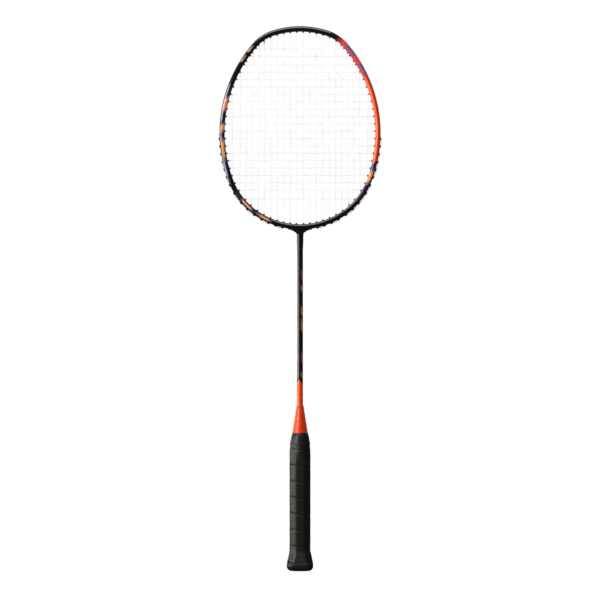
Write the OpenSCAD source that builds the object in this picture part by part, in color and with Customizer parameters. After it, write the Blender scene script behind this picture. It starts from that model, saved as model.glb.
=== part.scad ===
// Badminton racket, upright: +Z runs from the butt to the top of the head, +X across the head,
// and the face of the string bed looks along -Y. The origin is the middle of the butt's end face.
// All sizes are in millimetres.

/* [Overall] */
// Length from the butt's end face to the top of the head
overall_l = 675; // [620:1:820]
// Width of the head over the frame
head_w = 200; // [190:1:240]
// Height of the head over the frame
head_h = 252; // [225:1:260]

/* [Head outline] */
// Outer radius of the two upper corners
corner_r = 53; // [44:1:62]
// Outer radius of the two lower corners
lower_r = 90; // [75:1:105]
// Angle from the top at which the top arc meets the upper corner
top_turn = 18; // [15:1:21]
// Angle from the top at which the upper corner meets the side
corner_turn = 49; // [46:1:52]
// Angle from the top at which the side meets the lower corner
lower_turn = 111; // [107:1:115]
// Angle from the top at which the lower corner meets the bottom arc
bottom_turn = 147; // [142:1:152]

/* [Frame section] */
// Thickness of the frame seen from the front
frame_t = 6.6; // [5.5:0.1:8]
// Depth of the frame seen from the side
frame_d = 10.5; // [9.5:0.1:13]
// Rounding of the frame's long edges
frame_round = 2.4; // [1.8:0.1:2.6]
// Wall of the hollow frame
frame_wall = 1.1; // [0.8:0.1:1.3]
// Width of the string groove round the upper half
groove_w = 4.2; // [4:0.1:4.6]
// Depth of the string groove
groove_deep = 1.5; // [1.2:0.1:1.7]

/* [Throat and shaft] */
// Diameter of the shaft
shaft_d = 7.4; // [6:0.1:8.9]
// Wall of the hollow shaft
shaft_wall = 1.2; // [1:0.1:1.5]
// Length of the turned-down shaft end glued into the throat
spigot_l = 24; // [14:1:30]
// Depth by which that end is turned down
spigot_step = 0.4; // [0.3:0.05:0.6]
// Length of shaft hidden in the handle
shaft_in_handle = 105; // [80:1:130]
// How far the throat's neck stands proud of the shaft, top and bottom
neck_proud = 0.6; // [0.3:0.05:0.8]
// Radius of the fillet between the neck and the hoop
throat_fillet = 6.5; // [5:0.5:6.5]
// Half angle of the joint's two arms inside the hoop
arm_turn = 10; // [9:1:14]
// Length of the joint's stem inside the shaft
stem_l = 40; // [25:1:60]

/* [Handle] */
// Height of the handle's top face, where the cone sits
handle_top = 164; // [150:1:190]
// Width of the wooden handle across its side flats
handle_w = 21.8; // [20:0.1:26.2]
// Depth of the wooden handle across its front and back flats
handle_d = 19.8; // [18:0.1:24]
// Width cut off each corner of the handle
handle_bevel = 5.6; // [5:0.1:6.5]
// Difference between the handle's mean width and the diameter of its turned top end
turned_less = 0.6; // [-2:0.1:2]
// Growth of the turned end's radius per millimetre downward
turned_slope = 0.13; // [0.1:0.01:0.16]
// Diameter of the round tenon that enters the cone
tenon_d = 13; // [11:0.5:15]
// Height of that tenon
tenon_h = 12; // [8:1:14]
// Step down to the tenon that enters the butt cap
butt_step = 1; // [0.8:0.1:1.4]

/* [Cone] */
// Height of the cone
cone_h = 41; // [34:1:50]
// Wall of the cone at its top edge
cone_top_wall = 1; // [0.8:0.1:2]
// Difference between the diameter of the cone's lower rim and the handle's lesser width
cone_rim = 1.2; // [0.4:0.1:1.8]

/* [Butt cap] */
// Width of the butt cap's rim
butt_w = 33; // [30:0.5:40]
// Depth of the butt cap's rim
butt_d = 31; // [28:0.5:38]
// Height of the rim that shows below the grip
rim_h = 10; // [8:0.5:13]
// Height of the rounding at the butt's end
butt_round_h = 6.5; // [5:0.5:8]
// Inset of the flat end face from the rim
butt_round_w = 6; // [4:0.5:6.5]
// Thickness of the cap's end
butt_floor = 5; // [4:0.5:7]
// Top of the cap's skirt under the grip
skirt_top = 25; // [21:1:30]
// Wire of the two staples that hold the cap
staple_wire = 1; // [0.8:0.1:1.2]
// Width of a staple
staple_w = 9; // [6:0.5:11]
// Length of a staple's legs
staple_leg = 7; // [5:0.5:7]

/* [Grip] */
// Thickness of the wound grip
grip_t = 2; // [1.5:0.1:2.4]
// Thickness of the grip at its thinned top end
grip_end_t = 0.6; // [0.5:0.1:1]
// Height over which the top end thins
grip_thin_h = 16; // [12:1:24]
// Rise of the winding in one turn
grip_pitch = 20; // [16:0.5:26]
// Space between two turns
grip_gap = 0.6; // [0.5:0.1:1.2]
// Height of the tape that ends the grip
tape_h = 15; // [10:1:16]
// Thickness of that tape
tape_t = 0.35; // [0.25:0.05:0.6]

/* [Strings and grommets] */
// Diameter of the string
string_d = 0.7; // [0.6:0.02:0.84]
// Space between the layer of mains and the layer of crosses
layer_gap = 0.02; // [0.02:0.01:0.06]
// Bore of a grommet
grommet_bore = 1.7; // [1.6:0.05:1.9]
// Outside diameter of a grommet's barrel
grommet_d = 2.5; // [2.4:0.05:2.8]
// Diameter of a grommet's flange
flange_d = 3.7; // [3.4:0.1:3.9]
// Thickness of that flange
flange_h = 0.7; // [0.5:0.05:0.9]
// How far the barrel stands out inside the head
grommet_tip = 1.3; // [1:0.1:1.8]
// Space from the frame to the outermost main string at the widest point
main_margin = 7.4; // [6.5:0.1:9]
// Extra space before the outermost main string
main_extra = 2; // [1:0.1:3]
// Space from the frame to the highest cross string
cross_top_margin = 21.5; // [20:0.5:24]
// Space from the frame to the lowest cross string
cross_low_margin = 31.5; // [28:0.5:35]
// Extra space after the second cross string and before the last
cross_extra = 1.8; // [0:0.1:2.4]
// Lean of the two holes beside the neck, away from it
throat_lean = 20; // [16:1:24]

/* [Clearances] */
// Glued fit of one rigid piece in another, on each side
glue_fit = 0.08; // [0.05:0.01:0.15]
// Fit of the hidden joint in the hoop's hollow, on each side
joint_fit = 0.15; // [0.1:0.01:0.2]
// Fit of a grommet in its hole, on each side
grommet_fit = 0.05; // [0.03:0.01:0.1]
// Depth of the flat seat cut under each flange
seat_cut = 0.1; // [0.08:0.01:0.15]
// Space between the string and what it lies on
string_fit = 0.06; // [0.04:0.01:0.1]
// Space between the grip and what it is wound on
grip_fit = 0.25; // [0.2:0.05:0.4]

/* [Hidden] */
$fn = 48;
eps = 0.01;
// How far a cut runs past the face it opens
over = 1;

// Sum of a list
function total(list, i = 0) = i < len(list) ? list[i] + total(list, i + 1) : 0;

// Value between low and high where a rising function passes zero
function find(rising, low, high, steps = 40) =
    let (mid = (low + high) / 2)
    steps == 0 ? mid
    : rising(mid) < 0 ? find(rising, mid, high, steps - 1)
    : find(rising, low, mid, steps - 1);

// The head's outline is a chain of arcs that meet without a corner. The place on it is given by
// the angle of its outward normal: 0 at the top, 90 at the widest point, 180 at the throat, and
// negative on the left. Three of the five radii follow from the head's width and height.
half_w = head_w / 2;
corner_x = corner_r * (sin(corner_turn) - sin(top_turn));
lower_x = lower_r * (sin(lower_turn) - sin(bottom_turn));
top_share = (1 - cos(top_turn)) / sin(top_turn);
bottom_share = (1 + cos(bottom_turn)) / sin(bottom_turn);
fixed_h = (half_w - corner_x) * top_share + (half_w - lower_x) * bottom_share
    + corner_r * (cos(top_turn) - cos(corner_turn)) + lower_r * (cos(lower_turn) - cos(bottom_turn));
side_h = cos(corner_turn) - cos(lower_turn)
    - (1 - sin(corner_turn)) * top_share - (1 - sin(lower_turn)) * bottom_share;
side_r = (head_h - fixed_h) / side_h;
top_r = (half_w - corner_x - side_r * (1 - sin(corner_turn))) / sin(top_turn);
bottom_r = (half_w - lower_x - side_r * (1 - sin(lower_turn))) / sin(bottom_turn);
turns = [0, top_turn, corner_turn, lower_turn, bottom_turn, 180];
radii = [top_r, corner_r, side_r, lower_r, bottom_r];
TOP = 0;
CORNER = 1;
SIDE = 2;
LOWER = 3;
BOTTOM = 4;
hoop_low = overall_l - head_h;

function within(a, i) = min(max(a, turns[i]), turns[i + 1]);
function rim_x(a) = total([for (i = [TOP:BOTTOM]) radii[i] * (sin(within(a, i)) - sin(turns[i]))]);
function rim_z(a) =
    overall_l - total([for (i = [TOP:BOTTOM]) radii[i] * (cos(turns[i]) - cos(within(a, i)))]);
// Point [x, z] at angle a, a depth inside the outer outline
function rim(a, depth) =
    [sign(a) * rim_x(abs(a)) - depth * sin(a), rim_z(abs(a)) - depth * cos(a)];
// Length along the outline from the top to angle a, at a depth
function rim_len(a, depth) =
    total([for (i = [TOP:BOTTOM]) (radii[i] - depth) * (within(a, i) - turns[i]) * PI / 180]);

// The string pattern: mains are numbered from the middle outward, crosses from the top down
main_pairs = 11;
cross_count = 21;
string_r = string_d / 2;
string_lead = 0.4;
run_step = 4;
mouth_depth = frame_t + grommet_tip;
bend_depth = mouth_depth + string_lead;
main_pitch = (half_w - frame_t - main_margin - main_extra) / (main_pairs - 0.5);
cross_high = overall_l - frame_t - cross_top_margin;
cross_low = hoop_low + frame_t + cross_low_margin;
cross_pitch = (cross_high - cross_low - 2 * cross_extra) / (cross_count - 1);
last_cross = cross_count - 1;
function main_x(k) = main_pitch * (k + 0.5);
function cross_z(j) =
    cross_high - j * cross_pitch - (j > 1 ? cross_extra : 0) - (j == last_cross ? cross_extra : 0);

// Angles of the holes on the right-hand side. Three mains near each upper corner have their holes
// between those of the crosses, and the outer mains share holes with crosses.
between_share = 0.62;
function between(a, b) =
    let (goal = (1 - between_share) * rim_len(a, bend_depth) + between_share * rim_len(b, bend_depth))
    find(function (q) rim_len(q, bend_depth) - goal, a, b);
function top_hole(x) = find(function (a) rim(a, bend_depth)[0] - x, 0, 90);
function low_hole(x) = find(function (a) x - rim(a, bend_depth)[0], 90, 180);
cross_at = [for (j = [0:last_cross]) find(function (a) cross_z(j) - rim(a, bend_depth)[1], 0, 180)];
plain_top = [for (k = [0:5]) top_hole(main_x(k))];
corner_top = [
    between(plain_top[5], cross_at[0]),
    between(cross_at[0], cross_at[1]),
    between(cross_at[1], cross_at[2])
];
top_shared = [3, 6];
low_shared = [20, 19, 17];
corner_crosses = [0, 1, 2];
plain_low = [for (k = [0:7]) low_hole(main_x(k))];
main_top = concat(plain_top, corner_top, [for (j = top_shared) cross_at[j]]);
main_low = concat(plain_low, [for (j = low_shared) cross_at[j]]);
shared = concat(top_shared, low_shared);
function is_in(j, list) = len([for (q = list) if (q == j) q]) > 0;
side_crosses = [for (j = [0:last_cross]) if (!is_in(j, shared) && !is_in(j, corner_crosses)) j];
// The groove ends between two cross strings' holes at the widest point, and a string that passes
// its end rises out of it just before
groove_cross = 11;
groove_share = 0.46;
groove_rise = 0.8;
groove_end = cross_at[groove_cross] * (1 - groove_share) + cross_at[groove_cross + 1] * groove_share;

// A hole is [angle on the frame, angle of its axis], both negative on the left
function hole(side, a, lean = 0) = [side * a, side * (a - lean)];
function main_hole_top(side, k) = hole(side, main_top[k]);
function main_hole_low(side, k) = hole(side, main_low[k], k == 0 ? throat_lean : 0);
function cross_hole(side, j) = hole(side, cross_at[j]);
function seat_depth(a) = seat_cut + (abs(a) < groove_end ? groove_deep : 0);
// Distance along the axis from a grommet's inner mouth to its flange
function reach(h) = (mouth_depth - seat_depth(h[0])) / cos(h[1] - h[0]);
sides = [-1, 1];
plain_top_holes = [for (s = sides, k = [0:5]) main_hole_top(s, k)];
plain_low_holes = [for (s = sides, k = [0:7]) main_hole_low(s, k)];
function corner_holes(s) =
    concat([for (a = corner_top) hole(s, a)], [for (j = corner_crosses) cross_hole(s, j)]);
function side_holes(s) = [for (j = side_crosses) cross_hole(s, j)];
shared_holes = [for (s = sides, j = shared) cross_hole(s, j)];
all_holes = concat(plain_top_holes, plain_low_holes, shared_holes,
    [for (s = sides) each concat(corner_holes(s), side_holes(s))]);

// String routes. The mains lie in one layer and the crosses in the next, outside the frame too.
layer_y = string_r + layer_gap / 2;
string_sides = 6;
string_turn_r = 0.85;
run_rise = flange_h + string_fit + string_r;
function run_depth(a) = seat_cut - run_rise + (abs(a) < groove_end - groove_rise ? groove_deep : 0);
function along(h, q) = rim(h[0], mouth_depth) + q * [sin(h[1]), cos(h[1])];
// Four points that turn the string from a hole's axis onto the frame
function bend(h, way) = [
    for (b = [0:30:90])
        along(h, reach(h) + run_rise - string_turn_r * (1 - sin(b)))
            + way * string_turn_r * (1 - cos(b)) * [cos(h[1]), -sin(h[1])]
];
function backward(list) = [for (i = [len(list) - 1:-1:0]) list[i]];
// The string out through hole p, along the frame and in through hole q
function turn(p, q) =
    let (
        way = sign(q[0] - p[0]),
        steps = max(2, round(abs(rim_len(abs(p[0]), 0) - rim_len(abs(q[0]), 0)) / run_step))
    )
    concat(
        [along(p, -string_lead)], bend(p, way),
        [for (i = [1:steps - 1])
            let (a = p[0] + (q[0] - p[0]) * i / steps) rim(a, run_depth(a))],
        backward(bend(q, -way)), [along(q, -string_lead)]
    );
// Main strings in order across the head, from left to right
function main_side(m) = m < main_pairs ? -1 : 1;
function main_no(m) = m < main_pairs ? main_pairs - 1 - m : m - main_pairs;
function top_of(m) = main_hole_top(main_side(m), main_no(m));
function low_of(m) = main_hole_low(main_side(m), main_no(m));
main_last = 2 * main_pairs - 1;
main_tie = 15;
cross_tie_top = main_hole_top(-1, 5);
cross_tie_low = main_hole_low(1, 7);
main_route = concat(
    turn(cross_hole(-1, main_tie), low_of(0)),
    [for (m = [0:main_last - 1])
        each m % 2 == 0 ? turn(top_of(m), top_of(m + 1)) : turn(low_of(m), low_of(m + 1))],
    turn(low_of(main_last), cross_hole(1, main_tie))
);
function cross_end(j) = j % 2 == 0 ? 1 : -1;
cross_route = concat(
    turn(cross_tie_top, cross_hole(-1, 0)),
    [for (j = [0:last_cross - 1])
        each turn(cross_hole(cross_end(j), j), cross_hole(cross_end(j), j + 1))],
    turn(cross_hole(cross_end(last_cross), last_cross), cross_tie_low)
);

// Handle sections: an octagon whose corners are eased, given as 24 points that start on the right
handle_hw = handle_w / 2;
handle_hd = handle_d / 2;
turned_d = handle_hw + handle_hd - turned_less;
cone_base_d = min(handle_w, handle_d) + cone_rim;
corner_ease = 0.8;
bevel_growth = 2 - sqrt(2);
ring_points = 24;
function octagon(hw, hd, bevel) = [
    [hw, bevel - hd], [hw, hd - bevel], [hw - bevel, hd], [bevel - hw, hd],
    [-hw, hd - bevel], [-hw, bevel - hd], [bevel - hw, -hd], [hw - bevel, -hd]
];
function toward(p, q, distance) = p + (q - p) * distance / norm(q - p);
function eased(corners) = [
    for (i = [0:7])
        let (p = corners[i], next = corners[(i + 1) % 8])
        each [toward(p, next, corner_ease), (p + next) / 2, toward(next, p, corner_ease)]
];
function hand_section(hw, hd, grow = 0) =
    eased(octagon(hw + grow, hd + grow, handle_bevel + bevel_growth * grow));

// What the grip is wound on, by height: the butt cap's skirt, the handle and its turned top end
skirt_inset = grip_t + 0.4;
skirt_low_hw = butt_w / 2 - skirt_inset;
skirt_low_hd = butt_d / 2 - skirt_inset;
function skirt_share(z) = max(0, min(1, (skirt_top - z) / (skirt_top - rim_h)));
function hand_hw(z) = handle_hw + skirt_share(z) * (skirt_low_hw - handle_hw);
function hand_hd(z) = handle_hd + skirt_share(z) * (skirt_low_hd - handle_hd);
round_ease = 0.5;
function turned_r(z) = turned_d / 2 + round_ease + max(0, handle_top - z) * turned_slope;
function kept_within(p, limit) = p * min(1, limit / norm(p));
// Point i of 24 round the handle at height z, a distance outside what is under the grip
function hand_point(i, z, grow) =
    kept_within(hand_section(hand_hw(z), hand_hd(z), grow)[i], turned_r(z) + grow);

// The grip is one strip wound from the butt upward, cut level at both ends. It is laid out rising to the
// right on the front, and mirrored where it is drawn
grip_end_gap = 0.3;
grip_low = rim_h + grip_end_gap;
grip_high = handle_top - grip_end_gap;
grip_strip = grip_pitch - grip_gap;
grip_tip = 1;
grip_rise = grip_high - grip_low + grip_strip - 2 * grip_tip;
grip_rings = floor(grip_rise / grip_pitch * ring_points);
function grip_thick(z) =
    grip_t - (grip_t - grip_end_t) * max(0, min(1, (z - handle_top + grip_thin_h) / grip_thin_h));
function grip_mid(n) = grip_low + grip_tip - grip_strip / 2 + n * grip_pitch / ring_points;
function grip_edge(n, way) =
    max(grip_low, min(grip_high, grip_mid(n) + way * grip_strip / 2));
function grip_at(n, z, grow) =
    let (p = hand_point(n % ring_points, z, grip_fit + grow)) [p[0], p[1], z];
function grip_ring(n) =
    let (low = grip_edge(n, -1), high = grip_edge(n, 1), mid = (low + high) / 2)
    [
        grip_at(n, high, 0), grip_at(n, mid, 0), grip_at(n, low, 0),
        grip_at(n, low, grip_thick(low)), grip_at(n, mid, grip_thick(mid)),
        grip_at(n, high, grip_thick(high))
    ];
grip_path = [for (n = [0:grip_rings]) grip_ring(n)];
INNER_HIGH = 0;
INNER_LOW = 2;
OUTER_LOW = 3;
OUTER_HIGH = 5;
grip_least_gap = min([
    for (n = [0:grip_rings - ring_points])
        let (here = grip_path[n], above = grip_path[n + ring_points])
        min(norm(here[OUTER_HIGH] - above[OUTER_LOW]), norm(here[INNER_HIGH] - above[INNER_LOW]))
]);
echo(grip_turns = grip_rings / ring_points, grip_least_gap = grip_least_gap);

// The tape runs from the grip's thinned end up onto the cone
cone_top_d = shaft_d + 2 * cone_top_wall;
cone_slope = (cone_base_d - cone_top_d) / 2 / cone_h;
function cone_r(z) = cone_base_d / 2 - (z - handle_top) * cone_slope;
tape_low = grip_high - tape_h / 2;
tape_high = tape_low + tape_h;
tape_mid = (tape_low + grip_high) / 2;
tape_fit = 0.2;
function over_grip(i, z, grow) =
    let (p = hand_point(i, z, grip_fit + grip_thick(z) + grow)) [p[0], p[1], z];
function over_cone(i, z, grow) =
    let (turn = (i - 1) * 360 / ring_points, r = cone_r(z) + grow)
    [r * cos(turn), r * sin(turn), z];
function tape_side(i, grow) = [
    over_grip(i, tape_low, grow), over_grip(i, tape_mid, grow), over_grip(i, grip_high, grow),
    over_cone(i, tape_high, grow)
];
function tape_ring(i) = concat(backward(tape_side(i, tape_fit)), tape_side(i, tape_fit + tape_t));

// Heights along the shaft
cone_top = handle_top + cone_h;
shaft_low = handle_top - shaft_in_handle;
shaft_r = shaft_d / 2;
shaft_bore_r = shaft_r - shaft_wall;
spigot_r = shaft_r - spigot_step;
neck_low = hoop_low - spigot_l;
neck_r = shaft_r + neck_proud;
socket_roof = 2.5;
socket_top = hoop_low - socket_roof;
arm_mid = hoop_low + frame_t / 2;
stem_r = shaft_bore_r - glue_fit;
staple_lift = 4.5;
staple_z = rim_h + staple_lift;
staple_sink = staple_wire + 0.1;
staple_x = hand_hw(staple_z + staple_wire / 2) - staple_sink;

// Solid through a list of rings with the same number of points, closed by flat ends or in a loop.
// A ring's second point may lie within one of its straight sides, so the ends fan out from there.
module skin(rings, loop = false) {
    n = len(rings[0]);
    last = len(rings) - 1;
    spans = loop ? last : last - 1;
    function at(r, i) = (r % len(rings)) * n + i % n;
    walls = [
        for (r = [0:spans], i = [0:n - 1])
            each [
                [at(r, i), at(r + 1, i), at(r + 1, i + 1)],
                [at(r, i), at(r + 1, i + 1), at(r, i + 1)]
            ]
    ];
    hub = 1;
    low_end = [for (i = [1:n - 2]) [at(0, hub), at(0, hub + i), at(0, hub + i + 1)]];
    high_end = [for (i = [1:n - 2]) [at(last, hub), at(last, hub + i + 1), at(last, hub + i)]];
    polyhedron([for (ring = rings) each ring], loop ? walls : concat(walls, low_end, high_end));
}

// Round string through points [x, z] in the layer y
module string_along(route, y) {
    end = len(route) - 1;
    mitre_limit = 0.7;
    function unit(v) = v / norm(v);
    function normal(v) = [v[1], -v[0]];
    function ring(i) =
        let (
            before = unit(route[max(i, 1)] - route[max(i, 1) - 1]),
            after = unit(route[min(i, end - 1) + 1] - route[min(i, end - 1)]),
            across = normal(unit(before + after)),
            wide = string_r / max(mitre_limit, across * normal(after))
        )
        [for (s = [0:string_sides - 1])
            let (
                t = -360 * s / string_sides,
                p = route[i] + across * wide * cos(t)
            )
            [p[0], y + string_r * sin(t), p[1]]];
    skin([for (i = [0:end]) ring(i)]);
}

// Rounded rectangle with true arcs, from x0 to x1 and centred across
module round_box(x0, x1, w, r) {
    translate([x0 + r, -w / 2])
        square([x1 - x0 - 2 * r, w]);
    translate([x0, r - w / 2])
        square([x1 - x0, w - 2 * r]);
    for (x = [x0 + r, x1 - r], y = [r - w / 2, w / 2 - r])
        translate([x, y])
            circle(r);
}

// Sections of the frame, less the arc's inset: its outside, its hollow and its string groove
module frame_section() {
    round_box($inset - frame_t, -$inset, frame_d - 2 * $inset, frame_round - $inset);
}
module hollow_section(outer_cut, fit = 0) {
    side = frame_wall + fit + $inset;
    round_box(side - frame_t, -outer_cut - side, frame_d - 2 * side, frame_round - side);
}
module groove_section() {
    translate([$inset - groove_deep, $inset - groove_w / 2])
        square([groove_deep + over, groove_w - 2 * $inset]);
}

// Both sides of one arc of the outline, between two angles, swept from a section. Of two
// neighbouring arcs one is slimmer by a hair and runs a little way into the other.
arc_inset = 0.02;
arc_lap = 0.4;
module arc(i, from, to, slim = false) {
    centre = rim(turns[i], radii[i]);
    low = slim ? max(0, from - arc_lap) : from;
    high = slim ? min(180, to + arc_lap) : to;
    $inset = slim ? arc_inset : 0;
    rotate([90, 0, 0])
        for (side = [0, 1])
            mirror([side, 0, 0])
                translate(centre)
                    rotate_extrude(angle = high - low, start = 90 - high, $fn = 180)
                        translate([radii[i], 0])
                            children();
}
module hoop() {
    for (i = [TOP:BOTTOM])
        arc(i, turns[i], turns[i + 1], slim = i % 2 == 1)
            frame_section();
}
module hollow() {
    for (i = [TOP:SIDE])
        arc(i, turns[i], min(turns[i + 1], groove_end), slim = i % 2 == 0)
            hollow_section(groove_deep);
    for (i = [SIDE:BOTTOM])
        arc(i, max(turns[i], groove_end), turns[i + 1], slim = i % 2 == 1)
            hollow_section(0);
}
module groove() {
    for (i = [TOP:SIDE])
        arc(i, turns[i], min(turns[i + 1], groove_end), slim = i % 2 == 1)
            groove_section();
}

// Places its children at a hole's inner mouth, with +Z outward along the hole
module at_hole(h) {
    mouth = rim(h[0], mouth_depth);
    translate([mouth[0], 0, mouth[1]])
        rotate([0, h[1], 0])
            children();
}
module drilled(holes) {
    for (h = holes)
        at_hole(h) {
            cylinder(d = grommet_d + 2 * grommet_fit, h = reach(h) + eps);
            translate([0, 0, reach(h)])
                cylinder(d = flange_d + 2 * grommet_fit, h = flange_h + 2 * over);
        }
}
module grommets(holes) {
    for (h = holes)
        at_hole(h)
            difference() {
                union() {
                    cylinder(d = grommet_d, h = reach(h) + eps);
                    translate([0, 0, reach(h)])
                        cylinder(d = flange_d, h = flange_h);
                }
                translate([0, 0, -over])
                    cylinder(d = grommet_bore, h = reach(h) + flange_h + 2 * over);
            }
}

// The neck's outside: a slim taper that flares into the hoop, kept within the frame's depth
module neck() {
    flare_steps = 8;
    flare_low = hoop_low - throat_fillet;
    flare = [
        for (s = [0:flare_steps])
            let (t = 90 * s / flare_steps)
            [neck_r + throat_fillet * (1 - cos(t)), flare_low + throat_fillet * sin(t)]
    ];
    intersection() {
        rotate_extrude()
            polygon(concat(
                [[0, neck_low], [shaft_r + neck_proud / 2, neck_low]], flare,
                [[neck_r + throat_fillet, hoop_low + frame_wall], [0, hoop_low + frame_wall]]
            ));
        translate([-head_w / 2, -neck_r - neck_proud, neck_low - over])
            cube([head_w, 2 * (neck_r + neck_proud), spigot_l + frame_t]);
    }
}

module head_frame() {
    color("midnightblue")
        difference() {
            union() {
                hoop();
                neck();
            }
            hollow();
            groove();
            drilled(all_holes);
            translate([0, 0, neck_low - over])
                cylinder(r = spigot_r + glue_fit, h = socket_top - neck_low + over);
            translate([0, 0, socket_top - over])
                cylinder(r = stem_r + glue_fit, h = arm_mid - socket_top + over);
        }
}

module t_joint() {
    color("gray")
        difference() {
            union() {
                arc(BOTTOM, 180 - arm_turn, 180)
                    hollow_section(0, joint_fit);
                translate([0, 0, neck_low - stem_l])
                    cylinder(r = stem_r, h = arm_mid - neck_low + stem_l);
            }
            drilled([for (s = sides, k = [0, 1]) main_hole_low(s, k)]);
        }
}

module shaft() {
    color([0.09, 0.09, 0.1])
        difference() {
            union() {
                translate([0, 0, shaft_low])
                    cylinder(r = shaft_r, h = neck_low - shaft_low);
                translate([0, 0, neck_low - eps])
                    cylinder(r = spigot_r, h = socket_top - neck_low + eps);
            }
            translate([0, 0, shaft_low - over])
                cylinder(r = shaft_bore_r, h = socket_top - shaft_low + 2 * over);
        }
}

module cone_cap() {
    bore_r = shaft_r + glue_fit;
    socket_r = tenon_d / 2 + glue_fit;
    lip = 0.5;
    color("orangered")
        rotate_extrude()
            polygon([
                [bore_r, handle_top + tenon_h + glue_fit], [socket_r, handle_top + tenon_h + glue_fit],
                [socket_r, handle_top], [cone_base_d / 2, handle_top],
                [cone_top_d / 2, cone_top - lip], [cone_top_d / 2 - lip, cone_top], [bore_r, cone_top]
            ]);
}

module staple_legs(fit) {
    for (side = [0, 1])
        mirror([side, 0, 0])
            for (y = [-staple_w / 2, staple_w / 2 - staple_wire])
                translate([staple_x - staple_leg, y - fit, staple_z - fit])
                    cube([staple_leg + fit, staple_wire + 2 * fit, staple_wire + 2 * fit]);
}
module staple_crowns(fit, proud) {
    for (side = [0, 1])
        mirror([side, 0, 0])
            translate([staple_x - fit, -staple_w / 2 - fit, staple_z - fit])
                cube([staple_wire + fit + proud, staple_w + 2 * fit, staple_wire + 2 * fit]);
}

module handle_core() {
    turned_low = turned_d / 2 + (handle_top - skirt_top) * turned_slope;
    color("burlywood")
        difference() {
            union() {
                intersection() {
                    translate([0, 0, skirt_top])
                        linear_extrude(handle_top - skirt_top)
                            polygon(hand_section(handle_hw, handle_hd));
                    translate([0, 0, skirt_top])
                        cylinder(r1 = turned_low, r2 = turned_d / 2, h = handle_top - skirt_top);
                }
                translate([0, 0, butt_floor])
                    linear_extrude(skirt_top - butt_floor + eps)
                        polygon(hand_section(handle_hw, handle_hd, -butt_step));
                translate([0, 0, handle_top - eps])
                    cylinder(d = tenon_d, h = tenon_h + eps);
            }
            translate([0, 0, shaft_low])
                cylinder(r = shaft_r + glue_fit, h = handle_top + tenon_h - shaft_low + over);
            staple_legs(glue_fit);
        }
}

module butt_cap() {
    round_steps = 6;
    rim_taper = 0.2;
    function rim_ring(inset, z) =
        [for (p = hand_section(butt_w / 2 - inset, butt_d / 2 - inset)) [p[0], p[1], z]];
    rounded = [
        for (s = [0:round_steps])
            let (t = 90 * s / round_steps)
            rim_ring(butt_round_w * (1 - sin(t)), butt_round_h * (1 - cos(t)))
    ];
    function skirt_ring(z) = [for (p = hand_section(hand_hw(z), hand_hd(z))) [p[0], p[1], z]];
    color([0.12, 0.12, 0.12])
        difference() {
            skin(concat(rounded, [rim_ring(rim_taper, rim_h), skirt_ring(rim_h), skirt_ring(skirt_top)]));
            translate([0, 0, butt_floor])
                linear_extrude(skirt_top)
                    polygon(hand_section(handle_hw, handle_hd, glue_fit - butt_step));
            staple_legs(glue_fit);
            staple_crowns(glue_fit, skirt_inset);
        }
}

module butt_staples() {
    color("silver") {
        staple_legs(0);
        staple_crowns(0, 0);
    }
}

module grip_wrap() {
    color([0.16, 0.15, 0.15])
        mirror([1, 0, 0])
            skin(grip_path);
}

module finishing_tape() {
    color([0.07, 0.07, 0.07])
        skin([for (i = [0:ring_points - 1]) tape_ring(i)], loop = true);
}

module top_grommets() {
    color([0.05, 0.05, 0.05])
        grommets(plain_top_holes);
}
module left_corner_grommets() {
    color([0.05, 0.05, 0.05])
        grommets(corner_holes(-1));
}
module right_corner_grommets() {
    color([0.05, 0.05, 0.05])
        grommets(corner_holes(1));
}
module left_grommets() {
    color([0.05, 0.05, 0.05])
        grommets(side_holes(-1));
}
module right_grommets() {
    color([0.05, 0.05, 0.05])
        grommets(side_holes(1));
}
module shared_grommets() {
    color([0.05, 0.05, 0.05])
        grommets(shared_holes);
}
module bottom_grommets() {
    color([0.05, 0.05, 0.05])
        grommets(plain_low_holes);
}

module main_string() {
    color("white")
        string_along(main_route, -layer_y);
}
module cross_string() {
    color("white")
        string_along(cross_route, layer_y);
}

// Two hitches of a string's tail round the string that shares its hole. The knot starts just
// inside the grommet's mouth and runs along +Z of the placed frame.
module knot() {
    hitch_r = string_d + string_fit;
    hitch_pitch = 0.8 * string_d;
    for (turn_no = [0, 1])
        translate([0, 0, string_r + turn_no * hitch_pitch])
            rotate_extrude()
                translate([hitch_r, 0])
                    circle(string_r, $fn = 24);
}
module main_string_knots() {
    bend_at = along(cross_hole(1, main_tie), -string_lead);
    color("white")
        for (side = [0, 1])
            mirror([side, 0, 0])
                translate([bend_at[0] - string_d, layer_y, bend_at[1]])
                    rotate([0, -90, 0])
                        knot();
}
module cross_string_knots() {
    top_at = along(cross_tie_top, -string_lead);
    low_at = along(cross_tie_low, -string_lead);
    color("white") {
        translate([top_at[0], -layer_y, top_at[1] - string_d])
            rotate([180, 0, 0])
                knot();
        translate([low_at[0], -layer_y, low_at[1] + string_d])
            knot();
    }
}

head_frame();
t_joint();
shaft();
cone_cap();
handle_core();
butt_cap();
butt_staples();
grip_wrap();
finishing_tape();
top_grommets();
left_corner_grommets();
right_corner_grommets();
left_grommets();
right_grommets();
shared_grommets();
bottom_grommets();
main_string();
main_string_knots();
cross_string();
cross_string_knots();
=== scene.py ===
import math
from functools import lru_cache

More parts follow.
